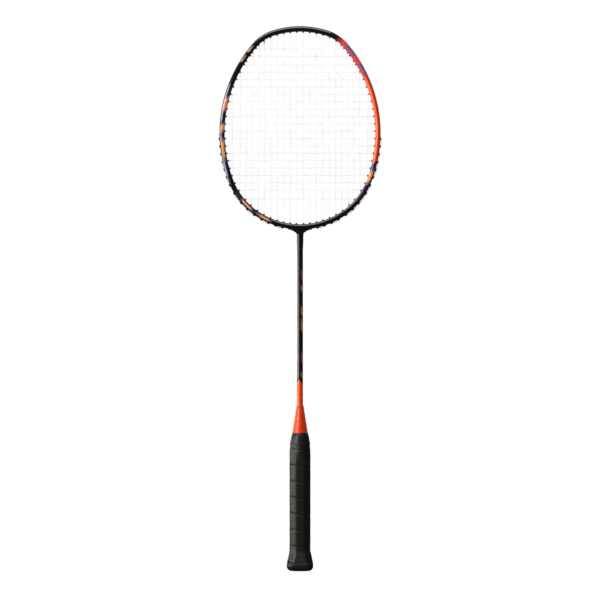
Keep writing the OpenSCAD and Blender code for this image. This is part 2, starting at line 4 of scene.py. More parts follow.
import bmesh
import bpy
import numpy as np
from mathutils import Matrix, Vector


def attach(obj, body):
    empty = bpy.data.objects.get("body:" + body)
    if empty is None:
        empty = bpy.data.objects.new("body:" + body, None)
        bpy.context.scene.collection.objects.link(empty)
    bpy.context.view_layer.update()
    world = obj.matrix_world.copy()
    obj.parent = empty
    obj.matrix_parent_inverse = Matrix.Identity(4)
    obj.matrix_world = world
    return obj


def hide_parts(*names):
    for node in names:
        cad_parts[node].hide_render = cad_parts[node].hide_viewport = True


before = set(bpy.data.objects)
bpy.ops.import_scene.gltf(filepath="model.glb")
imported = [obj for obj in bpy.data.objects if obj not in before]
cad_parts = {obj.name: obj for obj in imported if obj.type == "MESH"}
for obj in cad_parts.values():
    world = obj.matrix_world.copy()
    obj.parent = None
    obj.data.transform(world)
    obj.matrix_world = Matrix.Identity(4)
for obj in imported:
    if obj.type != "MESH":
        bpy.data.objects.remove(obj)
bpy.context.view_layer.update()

MM = 0.001
TINY = 1e-6

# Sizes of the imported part, in millimetres and degrees
OVERALL_L, HEAD_W, HEAD_H = 675.0, 200.0, 252.0
CORNER_R, LOWER_R = 53.0, 90.0
TURNS = np.array([0.0, 18.0, 49.0, 111.0, 147.0, 180.0])
FRAME_T, FRAME_D, FRAME_ROUND = 6.6, 10.5, 2.4
GROOVE_W, GROOVE_DEEP = 4.2, 1.5
SHAFT_R, SHAFT_WALL, SPIGOT_L, SPIGOT_STEP, SHAFT_IN_HANDLE = 3.7, 1.2, 24.0, 0.4, 105.0
SOCKET_ROOF = 2.5
HANDLE_TOP, HANDLE_HW, HANDLE_HD, BEVEL = 164.0, 10.9, 9.9, 5.6
TURNED_R, TURNED_SLOPE = 10.1, 0.13
TENON_R, TENON_H, BUTT_STEP = 6.5, 12.0, 1.0
CONE_H, CONE_TOP_R, CONE_BASE_R = 41.0, 4.7, 10.5
BUTT_HW, BUTT_HD, RIM_H, BUTT_ROUND_H, BUTT_ROUND_W = 16.5, 15.5, 10.0, 6.5, 6.0
BUTT_FLOOR, SKIRT_TOP, SKIRT_INSET = 5.0, 25.0, 2.4
GRIP_T, GRIP_END_T, GRIP_THIN_H, GRIP_PITCH, GRIP_FIT, GRIP_END_GAP = 2.0, 0.6, 16.0, 20.0, 0.12, 0.3
TAPE_H, TAPE_T, TAPE_FIT = 15.0, 0.35, 0.03
STRING_R, LANE_Y = 0.35, 0.36
GROMMET_BORE_R, GROMMET_R, FLANGE_R, FLANGE_H, GROMMET_TIP = 0.85, 1.25, 1.85, 0.7, 1.3
MAIN_MARGIN, MAIN_EXTRA, CROSS_TOP, CROSS_LOW, CROSS_EXTRA = 7.4, 2.0, 21.5, 31.5, 1.8
THROAT_LEAN, GLUE_FIT, SEAT_CUT, STRING_FIT, STRING_LEAD, STRING_TURN_R = 20.0, 0.08, 0.1, 0.06, 0.4, 0.85
HOOP_LOW = OVERALL_L - HEAD_H
NECK_LOW = HOOP_LOW - SPIGOT_L
SOCKET_TOP = HOOP_LOW - SOCKET_ROOF
CONE_TOP = HANDLE_TOP + CONE_H


def sin(a):
    return np.sin(np.radians(a))


def cos(a):
    return np.cos(np.radians(a))


def ease(t):
    """Smooth step from 0 to 1."""
    t = np.clip(t, 0.0, 1.0)
    return t * t * (3 - 2 * t)


def unit(v):
    return v / np.linalg.norm(v, axis=-1, keepdims=True)


# Outline of the head: five arcs a side, by the angle of the outward normal
def solve_radii():
    """Radii of the arcs: two given, and three from the head's width and height."""
    t1, t2, t3, t4 = TURNS[1:5]
    half = HEAD_W / 2
    corner_x = CORNER_R * (sin(t2) - sin(t1))
    lower_x = LOWER_R * (sin(t3) - sin(t4))
    top_share = (1 - cos(t1)) / sin(t1)
    low_share = (1 + cos(t4)) / sin(t4)
    fixed = (half - corner_x) * top_share + (half - lower_x) * low_share
    fixed += CORNER_R * (cos(t1) - cos(t2)) + LOWER_R * (cos(t3) - cos(t4))
    side_h = cos(t2) - cos(t3) - (1 - sin(t2)) * top_share - (1 - sin(t3)) * low_share
    side = (HEAD_H - fixed) / side_h
    top = (half - corner_x - side * (1 - sin(t2))) / sin(t1)
    low = (half - lower_x - side * (1 - sin(t3))) / sin(t4)
    return np.array([top, CORNER_R, side, LOWER_R, low])


RADII = solve_radii()


def rim(a, depth):
    """x and z of the outline at signed angle a, a depth inside it."""
    a = np.asarray(a, float)
    part = np.clip(np.abs(a)[..., None], TURNS[:-1], TURNS[1:])
    x = (RADII * (sin(part) - sin(TURNS[:-1]))).sum(-1) * np.sign(a)
    z = OVERALL_L - (RADII * (cos(TURNS[:-1]) - cos(part))).sum(-1)
    return x - depth * sin(a), z - depth * cos(a)


def run_to(a):
    """Length along the outline from the top to the unsigned angle a."""
    part = np.clip(np.asarray(a, float)[..., None], TURNS[:-1], TURNS[1:])
    return (RADII * np.radians(part - TURNS[:-1])).sum(-1)


HALF_RUN = float(run_to(180.0))
ANGLE_STEPS = 3600
ANGLES = np.linspace(0, 180, ANGLE_STEPS + 1)
RUNS = run_to(ANGLES)
# Farthest that a point is measured from the outline
RIM_REACH = 15.0


def run_and_depth(x, z):
    """Length from the top and depth inside the outline of points beside it."""
    x, z = np.abs(x), np.asarray(z)
    run, deep = np.full(x.shape, HALF_RUN), np.zeros(x.shape)
    done = np.zeros(x.shape, bool)
    for i, radius in enumerate(RADII):
        ex, ez = rim(TURNS[i], radius)
        angle = np.degrees(np.arctan2(x - ex, z - ez)) % 360
        here = ~done & (angle >= TURNS[i] - TINY) & (angle <= TURNS[i + 1] + TINY)
        far = np.hypot(x - ex, z - ez)
        near = here & (np.abs(far - radius) < RIM_REACH)
        run[near] = run_to(angle[near])
        deep[near] = radius - far[near]
        done |= near
    return run, deep


def bisect(rising, low, high, halvings=50):
    """Where a rising function passes nought between low and high."""
    for _ in range(halvings):
        mid = (low + high) / 2
        low, high = (mid, high) if rising(mid) < 0 else (low, mid)
    return (low + high) / 2


# String pattern: holes as (angle on the frame, angle of the axis)
PAIRS, CROSSES = 11, 21
TOP_MAINS, LOW_MAINS, CORNER_CROSSES = 6, 8, 3
MOUTH = FRAME_T + GROMMET_TIP
BEND = MOUTH + STRING_LEAD
MAIN_PITCH = (HEAD_W / 2 - FRAME_T - MAIN_MARGIN - MAIN_EXTRA) / (PAIRS - 0.5)
CROSS_HIGH = OVERALL_L - FRAME_T - CROSS_TOP
CROSS_PITCH = (CROSS_HIGH - HOOP_LOW - FRAME_T - CROSS_LOW - 2 * CROSS_EXTRA) / (CROSSES - 1)
CROSS_Z = [
    CROSS_HIGH - j * CROSS_PITCH - CROSS_EXTRA * ((j > 1) + (j == CROSSES - 1))
    for j in range(CROSSES)
]
MAIN_X = [MAIN_PITCH * (k + 0.5) for k in range(PAIRS)]
# Share of the way between two holes where a corner main's hole lies
BETWEEN = 0.62


def bend_run(a):
    part = np.clip(a, TURNS[:-1], TURNS[1:])
    return ((RADII - BEND) * np.radians(part - TURNS[:-1])).sum()


def between(a, b):
    goal = (1 - BETWEEN) * bend_run(a) + BETWEEN * bend_run(b)
    return bisect(lambda q: bend_run(q) - goal, a, b)


CROSS_AT = [bisect(lambda a, z=z: z - rim(a, BEND)[1], 0, 180) for z in CROSS_Z]
TOP_AT = [bisect(lambda a, x=x: rim(a, BEND)[0] - x, 0, 90) for x in MAIN_X[:TOP_MAINS]]
LOW_AT = [bisect(lambda a, x=x: x - rim(a, BEND)[0], 90, 180) for x in MAIN_X[:LOW_MAINS]]
CORNER = [TOP_AT[-1]] + CROSS_AT[:CORNER_CROSSES]
CORNER_AT = [between(a, b) for a, b in zip(CORNER, CORNER[1:])]
# Crosses whose holes a main string shares
SHARED_TOP, SHARED_LOW = [3, 6], [20, 19, 17]
MAIN_TOP = TOP_AT + CORNER_AT + [CROSS_AT[j] for j in SHARED_TOP]
MAIN_LOW = LOW_AT + [CROSS_AT[j] for j in SHARED_LOW]
# The groove ends between two crosses' holes, and strings rise out of it just before
GROOVE_CROSS, GROOVE_SHARE, GROOVE_RISE = 11, 0.46, 0.8
GROOVE_END = CROSS_AT[GROOVE_CROSS] * (1 - GROOVE_SHARE) + CROSS_AT[GROOVE_CROSS + 1] * GROOVE_SHARE


def hole(side, a, lean=0.0):
    return side * a, side * (a - lean)


def top_hole(side, k):
    return hole(side, MAIN_TOP[k])


def low_hole(side, k):
    return hole(side, MAIN_LOW[k], THROAT_LEAN if k == 0 else 0.0)


def cross_hole(side, j):
    return hole(side, CROSS_AT[j])


def seat_depth(a):
    return SEAT_CUT + (GROOVE_DEEP if abs(a) < GROOVE_END else 0.0)


def reach(h):
    """Length of a grommet from its inner mouth to its flange."""
    return (MOUTH - seat_depth(h[0])) / cos(h[1] - h[0])


def along(h, q):
    """Point on a hole's axis, q out from the inner mouth."""
    return np.array(rim(h[0], MOUTH)) + q * np.array([sin(h[1]), cos(h[1])])


def lead(h):
    """Point on a hole's axis where the string bends into the bed."""
    return along(h, -STRING_LEAD)


# Mesh building
def tube(rings, loop=False):
    """Vertices and faces of a skin through rings, with flat ends unless it is a loop."""
    rings = np.asarray(rings, float)
    rows, cols = rings.shape[:2]
    faces = []
    for r in range(rows if loop else rows - 1):
        a, b = r * cols, (r + 1) % rows * cols
        for c in range(cols):
            d = (c + 1) % cols
            faces.append((a + c, b + c, b + d, a + d))
    if not loop:
        faces.append(tuple(range(cols)))
        faces.append(tuple((rows - 1) * cols + c for c in reversed(range(cols))))
    return rings.reshape(-1, 3), faces


def circle(count):
    """Angles of points round a circle, in radians."""
    return np.linspace(0, 2 * np.pi, count, endpoint=False)


def flat_ring(points, z):
    return np.column_stack([points, np.full(len(points), z)])


def lathe(profile, segments):
    """A profile of [radius, height] turned about Z: a copy of it at each step round."""
    r, z = np.asarray(profile, float).T
    t = circle(segments)[:, None]
    return np.stack(np.broadcast_arrays(r * np.cos(t), r * np.sin(t), z), -1)


def rounded(points, radius, steps=4, most=0.45):
    """Closed polygon of [r, z] with rounded corners, each at most a share of a side."""
    points = np.asarray(points, float)
    out = []
    for i, p in enumerate(points):
        a, b = points[i - 1], points[(i + 1) % len(points)]
        la, lb = np.linalg.norm(a - p), np.linalg.norm(b - p)
        r = min(radius[i], most * la, most * lb)
        if r < TINY:
            out.append(p)
            continue
        p0, p1 = p + (a - p) * r / la, p + (b - p) * r / lb
        for t in np.linspace(0, 1, steps):
            out.append((1 - t) ** 2 * p0 + 2 * t * (1 - t) * p + t * t * p1)
    return np.array(out)


def curve_through(xs, ys, x):
    """Cubic through rising points, without waves between them."""
    xs, ys = np.asarray(xs, float), np.asarray(ys, float)
    h, d = np.diff(xs), np.diff(ys) / np.diff(xs)
    m = np.zeros(len(xs))
    m[0], m[-1] = d[0], d[-1]
    w1, w2 = 2 * h[1:] + h[:-1], h[1:] + 2 * h[:-1]
    m[1:-1] = (w1 + w2) / (w1 / d[:-1] + w2 / d[1:])
    i = np.clip(np.searchsorted(xs, x) - 1, 0, len(h) - 1)
    t = np.clip((x - xs[i]) / h[i], 0, 1)
    return (
        (1 + 2 * t) * (1 - t) ** 2 * ys[i]
        + t * (1 - t) ** 2 * h[i] * m[i]
        + t * t * (3 - 2 * t) * ys[i + 1]
        - t * t * (1 - t) * h[i] * m[i + 1]
    )


def linked(name, data):
    obj = bpy.data.objects.new(name, data)
    bpy.context.scene.collection.objects.link(obj)
    return obj


def mesh_object(name, verts, faces, weld=1e-7):
    """Object from vertices in millimetres, welded at a distance in metres."""
    mesh = bpy.data.meshes.new(name)
    mesh.from_pydata((np.asarray(verts) * MM).tolist(), [], faces)
    work = bmesh.new()
    work.from_mesh(mesh)
    bmesh.ops.remove_doubles(work, verts=work.verts, dist=weld)
    bmesh.ops.recalc_face_normals(work, faces=work.faces)
    work.to_mesh(mesh)
    work.free()
    return linked(name, mesh)


def finish_piece(obj, node, slot, material, sharp=50):
    """Smooth faces with sharp edges, the material, and the node that the piece replaces."""
    obj.data.shade_smooth()
    obj.data.set_sharp_from_angle(angle=math.radians(sharp))
    obj.data.materials.clear()
    obj.data.materials.append(material)
    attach(obj, "root")
    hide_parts(node)


def add_piece(name, skin, *details, sharp=50):
    finish_piece(mesh_object(name, *skin), *details, sharp)


def joined(parts):
    """One vertex and face list from several."""
    verts, faces, start = [], [], 0
    for v, f in parts:
        verts.append(v)
        faces += [tuple(start + i for i in face) for face in f]
        start += len(v)
    return np.concatenate(verts), faces


def cut_with(obj, tool, operation):
    """Applies an exact boolean of obj with tool, and removes tool."""
    change = obj.modifiers.new(operation.lower(), "BOOLEAN")
    change.operation = operation
    change.solver = "EXACT"
    change.object = tool
    graph = bpy.context.evaluated_depsgraph_get()
    mesh = bpy.data.meshes.new_from_object(obj.evaluated_get(graph))
    obj.modifiers.clear()
    old, obj.data = obj.data, mesh
    mesh.name = obj.name
    bpy.data.meshes.remove(old)
    bpy.data.meshes.remove(tool.data)


# Materials
NOISE_RANGE = (0.3, 0.7)


class Nodes:
    """Node tree of a material or world, with short ways to add and link nodes."""

    def __init__(self, name, kind="materials", shader="Principled BSDF"):
        self.owner = getattr(bpy.data, kind).new(name)
        self.owner.use_nodes = True
        self.tree = self.owner.node_tree
        self.shader = self.tree.nodes[shader]

    def add(self, kind, settings=None, **inputs):
        """New node with its inputs by name, or by number as i0, i1 and so on."""
        node = self.tree.nodes.new("ShaderNode" + kind)
        for key, value in (settings or {}).items():
            setattr(node, key, value)
        for key, value in inputs.items():
            numbered = key[0] == "i" and key[1:].isdigit()
            self.put(node.inputs[int(key[1:]) if numbered else key], value)
        return node

    def put(self, socket, value):
        if isinstance(value, bpy.types.NodeSocket):
            self.tree.links.new(value, socket)
        else:
            socket.default_value = value

    def set(self, **inputs):
        for key, value in inputs.items():
            self.put(self.shader.inputs[key.replace("_", " ")], value)
        return self.owner

    def math(self, operation, a, b=0.0, c=0.0):
        return self.add("Math", {"operation": operation}, i0=a, i1=b, i2=c).outputs[0]

    def times(self, first, *others):
        for other in others:
            first = self.math("MULTIPLY", first, other)
        return first

    def mapped(self, value, low, high, to_low=0.0, to_high=1.0):
        return self.add("MapRange", i0=value, i1=low, i2=high, i3=to_low, i4=to_high).outputs[0]

    def mix(self, factor, a, b):
        return self.add("Mix", {"data_type": "RGBA"}, i0=factor, i6=a, i7=b).outputs[2]

    def noise(self, scale, detail=2.0, rough=0.5, where=None):
        inputs = {"Scale": scale, "Detail": detail, "Roughness": rough, "Vector": where or self.place}
        return self.add("TexNoise", **inputs).outputs["Fac"]

    def spread(self, noise, low=0.0, high=1.0):
        """A noise's usual range brought to a range from low to high."""
        return self.mapped(noise, *NOISE_RANGE, low, high)

    @property
    def place(self):
        if "Place" not in self.tree.nodes:
            self.add("TexCoord").name = "Place"
        return self.tree.nodes["Place"].outputs["Object"]

    def axes(self):
        return self.add("SeparateXYZ", i0=self.place).outputs

    def bump(self, height, strength, distance):
        """Normal from a height, with the distance in millimetres."""
        return self.add("Bump", Strength=strength, Distance=distance * MM, Height=height).outputs[0]

    def ramp(self, value, stops):
        node = self.add("ValToRGB", Fac=value)
        elements = node.color_ramp.elements
        elements[0].position, elements[0].color = stops[0]
        elements[1].position, elements[1].color = stops[-1]
        for position, colour in stops[1:-1]:
            elements.new(position).color = colour
        return node.outputs["Color"]

    def attribute(self, name):
        return self.add("Attribute", {"attribute_name": name}).outputs["Fac"]


def srgb(r, g, b):
    """Linear colour from 0 to 255 screen values."""
    out = []
    for v in (r, g, b):
        v /= 255
        out.append(v / 12.92 if v <= 0.04045 else ((v + 0.055) / 1.055) ** 2.4)
    return (*out, 1.0)


OFF, DIM, MOST, ON = ((grey, grey, grey, 1) for grey in (0.0, 0.3, 0.6, 1.0))
BLACK = srgb(10, 10, 15)
NAVY = srgb(20, 23, 56)
STEEL = srgb(36, 42, 64)
BLUE = srgb(36, 46, 92)
COPPER = srgb(216, 138, 84)
PEACH = srgb(217, 150, 110)
GOLD = srgb(226, 178, 104)
HIGHLIGHT_CREAM = srgb(214, 186, 172)
BRONZE = srgb(164, 108, 72)
RUST = srgb(122, 66, 48)
BROWN = srgb(96, 74, 60)
OLIVE = srgb(126, 104, 66)
MAUVE = srgb(122, 88, 96)
LILAC = srgb(112, 104, 124)
HIGHLIGHT_LAVENDER = srgb(176, 170, 192)
SLATE = srgb(30, 34, 48)
ORANGE = srgb(236, 64, 14)
HIGHLIGHT_AMBER = srgb(255, 122, 50)
CORAL = srgb(216, 66, 54)
EMBER = srgb(158, 36, 10)
VIOLET = srgb(90, 80, 130)
DUSK = srgb(150, 104, 122)
UMBER = srgb(46, 32, 26)
WARM = (1.0, 0.66, 0.36, 1)
FLAKE = srgb(62, 66, 84)


def bands(n, share, soft, stops, length=HALF_RUN):
    """Colour bands (to, colour) in millimetres along a length, from nought, with soft edges."""
    out, low = [], 0.0
    for high, colour in stops:
        out += [((low + soft) / length if low else 0.0, colour), ((high - soft) / length, colour)]
        low = high
    return n.ramp(share, out)


def lacquer(n, colour, rough=0.22, coat=0.9, coat_rough=0.06, shine=0.15, tint=ON):
    """Gloss lacquer: fine flakes in the colour and a clear coat with a faint ripple."""
    flakes = n.mapped(n.noise(5200, detail=1.0), 0.56, 0.72)
    return n.set(
        Base_Color=n.mix(n.times(flakes, 0.08), colour, FLAKE),
        Roughness=n.spread(n.noise(160, detail=3.0), rough - 0.04, rough + 0.05),
        Normal=n.bump(n.noise(260), strength=0.012, distance=0.05),
        Specular_IOR_Level=shine,
        Specular_Tint=tint,
        Coat_Weight=coat,
        Coat_Roughness=coat_rough,
        IOR=1.5,
    )


def slanted(n, slant):
    """Share of the half outline's length, slanted across the hoop about its middle."""
    across = n.math("SUBTRACT", n.attribute("deep"), FRAME_T / 2 * MM)
    return n.math("DIVIDE", n.math("MULTIPLY_ADD", across, slant, n.attribute("run")), HALF_RUN * MM)


def past(n, share, run):
    """Mask of what lies farther than run along the half outline."""
    return n.math("GREATER_THAN", share, run / HALF_RUN)


def depths(n, start, full):
    """Mask that goes from 0 to 1 between two depths inside the outline."""
    return n.mapped(n.attribute("deep"), start * MM, full * MM)


def stripe(n, start, full, fade, end):
    """Mask of a stripe along the hoop, between depths inside the outline."""
    return n.times(depths(n, start, full), depths(n, end, fade))


def left_front(n, share):
    """Mask of the left side's front between dark edges, which widen on the way down as painted shade."""
    # Lower down, the hoop faces down and away from the light, so its wider dark edges there are painted
    # shade
    down = n.mapped(share, 188 / HALF_RUN, 226 / HALF_RUN)
    spans = (0.9, 1.6), (1.7, 2.7), (6.3, 5.4), (5.6, 4.1)
    edges = [n.mapped(down, 0, 1, high * MM, low * MM) for high, low in spans]
    deep = n.attribute("deep")
    return n.times(n.mapped(deep, *edges[:2]), n.mapped(deep, *edges[2:]))


def left_bands(n):
    """Copper bands, navy ones, two thin gold flashes above, and a lavender line near the outer edge that
    is a painted highlight.
    """
    share = slanted(n, 0.9)
    upper = bands(n, share, 1.0, [
        (127, BLACK), (139, SLATE), (141.5, MAUVE), (156, COPPER), (159.5, MAUVE), (169, NAVY),
        (175, UMBER), (182.5, COPPER), (186, MAUVE), (193, NAVY), (196.5, MAUVE), (217, COPPER),
        (222, MAUVE), (HALF_RUN, NAVY),
    ])
    lower = bands(n, share, 1.0, [
        (235, NAVY), (262, BLACK), (274.5, STEEL), (277, MAUVE), (292.5, PEACH), (295, MAUVE),
        (301, STEEL), (306.5, MAUVE), (319.5, PEACH), (323, MAUVE), (HALF_RUN, BLACK),
    ])
    paint = n.mix(left_front(n, share), BLACK, n.mix(past(n, share, 227), upper, lower))
    # Two thin flashes: copper bands, painted paler gold where they cross the outer streak, so their pale
    # tone is partly a painted highlight
    flash_l = 8.5 / HALF_RUN
    flash = bands(n, share, 1.5, [
        (66.5, OFF), (75, ON), (81.5, OFF), (90, ON), (HALF_RUN, OFF),
    ])
    gold = n.mix(n.mapped(n.math("PINGPONG", share, flash_l), 0, flash_l), LILAC, GOLD)
    paint = n.mix(n.times(flash, stripe(n, 0.8, 1.4, 2.6, 4.0)), paint, gold)
    # The lavender line near the outer edge is a painted highlight of the light on the left
    highlight_weight = 0.6
    painted_highlight = bands(n, share, 2.0, [
        (122, OFF), (140, ON), (158, DIM), (169, ON), (187, OFF), (195, ON), (220, OFF), (238, ON),
        (HALF_RUN, OFF),
    ])
    return n.mix(n.times(painted_highlight, stripe(n, 1.0, 1.6, 2.1, 3.1), highlight_weight), paint, HIGHLIGHT_LAVENDER)


def right_top(n):
    """Black, then coral with violet flashes on its outer half, then orange."""
    paint = bands(n, slanted(n, 0.3), 1.6, [
        (51.5, BLACK), (56.5, EMBER), (113, CORAL), (HALF_RUN, ORANGE),
    ])
    flash = bands(n, slanted(n, 0.6), 0.8, [
        (65, OFF), (82.5, ON), (93, OFF), (103, ON), (105, OFF), (110.5, ON), (HALF_RUN, OFF),
    ])
    speckle = n.mapped(n.noise(1100), 0.42, 0.62, 0.0, 0.6)
    return n.mix(n.times(flash, depths(n, 5.6, 3.6)), paint, n.mix(speckle, VIOLET, DUSK))


def right_bands(n):
    """Orange with painted shade on its outer half and a painted highlight stripe in its middle, then navy
    and copper bands that slant the other way, with a cream painted highlight at their inner edge.
    """
    share = slanted(n, -1.0)
    lower = bands(n, share, 1.0, [
        (223, ORANGE), (232, BLUE), (234.5, MAUVE), (248, COPPER), (253, MAUVE), (264, NAVY),
        (281, UMBER), (HALF_RUN, BLACK),
    ])
    lower = n.mix(n.times(past(n, share, 224), depths(n, 2.8, 1.0)), lower, BLACK)
    # A cream line along the inner edge of the lower bands is a painted highlight
    painted_highlight = bands(n, share, 5.0, [(256, OFF), (294, DIM), (HALF_RUN, OFF)])
    lower = n.mix(n.times(painted_highlight, stripe(n, 4.2, 5.4, 5.9, 6.5)), lower, HIGHLIGHT_CREAM)
    paint = n.mix(past(n, share, 160), right_top(n), lower)
    # Painted shade darkens the orange's outer half, and a painted highlight lightens a stripe in its
    # middle
    orange = bands(n, share, 2.0, [(114, OFF), (222, MOST), (HALF_RUN, OFF)])
    paint = n.mix(n.times(orange, depths(n, 3.8, 2.4)), paint, EMBER)
    return n.mix(n.times(orange, stripe(n, 3.0, 3.8, 4.6, 5.8)), paint, HIGHLIGHT_AMBER)


def frame_paint():
    """Black hoop with slanted bands on the left and an orange right side."""
    n = Nodes("frame_lacquer")
    left, right = left_bands(n), right_bands(n)
    return lacquer(n, n.mix(n.math("GREATER_THAN", n.axes()[0], 0.0), left, right))


# The shaft's orange foot: its edge's height and softness, and its point's place and slope
FOOT_TOP, FOOT_SOFT, FOOT_POINT_X, FOOT_SLOPE = 237.0, 0.4, -1.0, 1.5
MARK_SLANT, LEFT_WEIGHT = 1.6, 0.6


def shaft_paint():
    """Black shaft with soft slanted marks on both sides, and an orange foot with a pointed edge."""
    n = Nodes("shaft_lacquer")
    x, _, z = n.axes()
    share = n.math("DIVIDE", n.math("MULTIPLY_ADD", x, MARK_SLANT, z), HOOP_LOW * MM)
    right = bands(n, share, 2.0, [
        (243, BLACK), (249, BRONZE), (262, BLACK), (273, RUST), (301, BLACK), (314, BRONZE), (320, BLACK),
        (330, BRONZE), (350, BLACK), (356.5, BRONZE), (365, BLACK), (375, RUST), (HOOP_LOW, BLACK),
    ], HOOP_LOW)
    left = bands(n, share, 2.4, [
        (236, BLACK), (249, OLIVE), (254, BLACK), (267, LILAC), (272, BLACK), (306, BROWN),
        (HOOP_LOW, SLATE),
    ], HOOP_LOW)
    right_side = n.mapped(x, 0.6 * MM, 1.6 * MM)
    left_side = n.mapped(x, -1.2 * MM, -2.2 * MM)
    body = n.mix(left_side, n.mix(right_side, BLACK, right), n.mix(LEFT_WEIGHT, BLACK, left))
    beside = n.math("ABSOLUTE", n.math("SUBTRACT", x, FOOT_POINT_X * MM))
    edge = n.math("MULTIPLY_ADD", beside, FOOT_SLOPE, z)
    above = n.mapped(edge, (FOOT_TOP - FOOT_SOFT) * MM, (FOOT_TOP + FOOT_SOFT) * MM)
    coat, shine = n.mapped(above, 0, 1, 0.25, 0.9), n.mapped(above, 0, 1, 0.8, 0.15)
    colour, tint = n.mix(above, ORANGE, body), n.mix(above, WARM, ON)
    return lacquer(n, colour, rough=0.24, coat=coat, coat_rough=0.08, shine=shine, tint=tint)


def cone_paint():
    n = Nodes("cone_lacquer")
    colour = n.mix(n.spread(n.noise(90)), srgb(226, 59, 13), srgb(218, 52, 11))
    return lacquer(n, colour, rough=0.34, coat=0.25, coat_rough=0.2, shine=0.8, tint=WARM)


def string_nylon(name, dull, bright):
    """White string that lets some light through, with a fine twist."""
    n = Nodes(name)
    kind = {"wave_type": "BANDS", "bands_direction": "DIAGONAL"}
    twist = n.add("TexWave", kind, Vector=n.place, Scale=900.0, Distortion=1.5).outputs["Fac"]
    return n.set(
        Base_Color=n.mix(n.spread(n.noise(60, detail=3.0)), dull, bright),
        Transmission_Weight=0.5,
        Roughness=n.mapped(twist, 0, 1, 0.28, 0.42),
        Normal=n.bump(twist, strength=0.15, distance=0.04),
        IOR=1.53,
    )


def moulded(name, dark, light, rough, grain):
    """Moulded plastic with a fine spark texture and slight scuffs."""
    n = Nodes(name)
    fine = n.noise(grain, detail=3.0, rough=0.6)
    scuff = n.mapped(n.noise(220, detail=4.0, rough=0.65), 0.55, 0.75)
    return n.set(
        Base_Color=n.mix(n.times(scuff, 0.35), dark, light),
        Roughness=n.spread(fine, rough - 0.07, rough + 0.08),
        Normal=n.bump(fine, strength=0.18, distance=0.06),
    )


def grip_leather():
    """Soft pebbled grip, with painted shade in the creases at its cells' edges."""
    n = Nodes("grip_leather")
    kind = {"feature": "DISTANCE_TO_EDGE"}
    cells = n.add("TexVoronoi", kind, Vector=n.place, Scale=1150.0, Randomness=1.0)
    pebble = n.mapped(cells.outputs["Distance"], 0.0, 0.22)
    fine = n.noise(3800, detail=3.0, rough=0.6)
    cloud = n.spread(n.noise(45, detail=4.0, rough=0.6))
    height = n.math("MULTIPLY_ADD", fine, 0.35, pebble)
    worn = n.mix(cloud, srgb(16, 14, 12), srgb(23, 20, 17))
    # The base colour is darker in the creases between pebbles: painted shade
    return n.set(
        Base_Color=n.mix(n.mapped(pebble, 0.0, 0.6), srgb(9, 9, 8), worn),
        Roughness=n.spread(fine, 0.32, 0.44),
        Specular_IOR_Level=0.58,
        Specular_Tint=(1.0, 0.94, 0.88, 1),
        Normal=n.bump(height, strength=0.35, distance=0.12),
    )


def tape_vinyl():
    n = Nodes("tape_vinyl")
    pull = n.noise(420, detail=3.0)
    return n.set(
        Base_Color=n.mix(n.spread(n.noise(120, detail=3.0)), srgb(15, 15, 16), srgb(23, 23, 24)),
        Roughness=n.spread(pull, 0.34, 0.46),
        Normal=n.bump(pull, strength=0.06, distance=0.1),
    )


def grained(name, light, dark, grain, rough, bump, metallic=0.0):
    """Wood or metal: its grain's scale, detail and share along Z, roughness and bump."""
    n = Nodes(name)
    scale, detail, share = grain
    where = n.add("Mapping", Vector=n.place, Scale=(1.0, 1.0, share)).outputs[0]
    lines = n.noise(scale, detail, rough=0.6, where=where)
    return n.set(
        Base_Color=n.mix(n.spread(lines), light, dark),
        Roughness=n.spread(lines, *rough),
        Normal=n.bump(lines, *bump),
        Metallic=metallic,
    )


# Head frame: a swept hoop with its string groove, and the flared neck

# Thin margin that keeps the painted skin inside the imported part's box
SKIN = 0.05
# Points of the outer face, from its middle, and the groove's wall among them
FACE_Y = [0.0, 0.7, 1.3, 1.75, 1.92, 2.02, 2.1, 2.18, 2.28, 2.45]
WALL_LOW, WALL_W, INNER_Y = GROOVE_W / 2 - 0.2, 0.42, 1.4
# Length of the groove's fade, and how far before its end that starts
FADE_L, FADE_LEAD = 3.5, 0.5


def frame_ring(groove):
    """Section of the hoop as [depth, y], with a share of the groove's depth."""
    half_flat, crest = FRAME_D / 2 - FRAME_ROUND, FRAME_T / 2
    right = np.array(FACE_Y + [half_flat])
    face_y = np.concatenate([-right[:0:-1], right])
    wall = 1 - ease((np.abs(face_y) - WALL_LOW) / WALL_W)
    face = np.stack([GROOVE_DEEP * groove * wall, face_y], 1)
    t = np.arange(10, 91, 10)
    outer = np.stack([crest - crest * cos(t), half_flat + FRAME_ROUND * sin(t)], 1)
    inner = np.stack([crest + crest * sin(t), half_flat + FRAME_ROUND * cos(t)], 1)
    inside = [[FRAME_T, y] for y in (INNER_Y, 0.0, -INNER_Y)]
    points = np.concatenate([face, outer, inner, inside, inner[::-1] * [1, -1], outer[::-1] * [1, -1]])
    points[:, 0] = SKIN + points[:, 0] * (1 - SKIN / FRAME_T)
    return points


def hoop_rings(count=720):
    """Sections round the whole head, at equal lengths along its outline."""
    run = np.linspace(-HALF_RUN, HALF_RUN, count, endpoint=False)
    angle = np.interp(np.abs(run), RUNS, ANGLES) * np.sign(run)
    fade = run_to(GROOVE_END) - FADE_LEAD
    rings = []
    for a, r in zip(angle, np.abs(run)):
        section = frame_ring(1 - ease((r - fade) / FADE_L))
        x, z = rim(np.full(len(section), a), section[:, 0])
        rings.append(np.stack([x, section[:, 1], z], 1))
    return rings


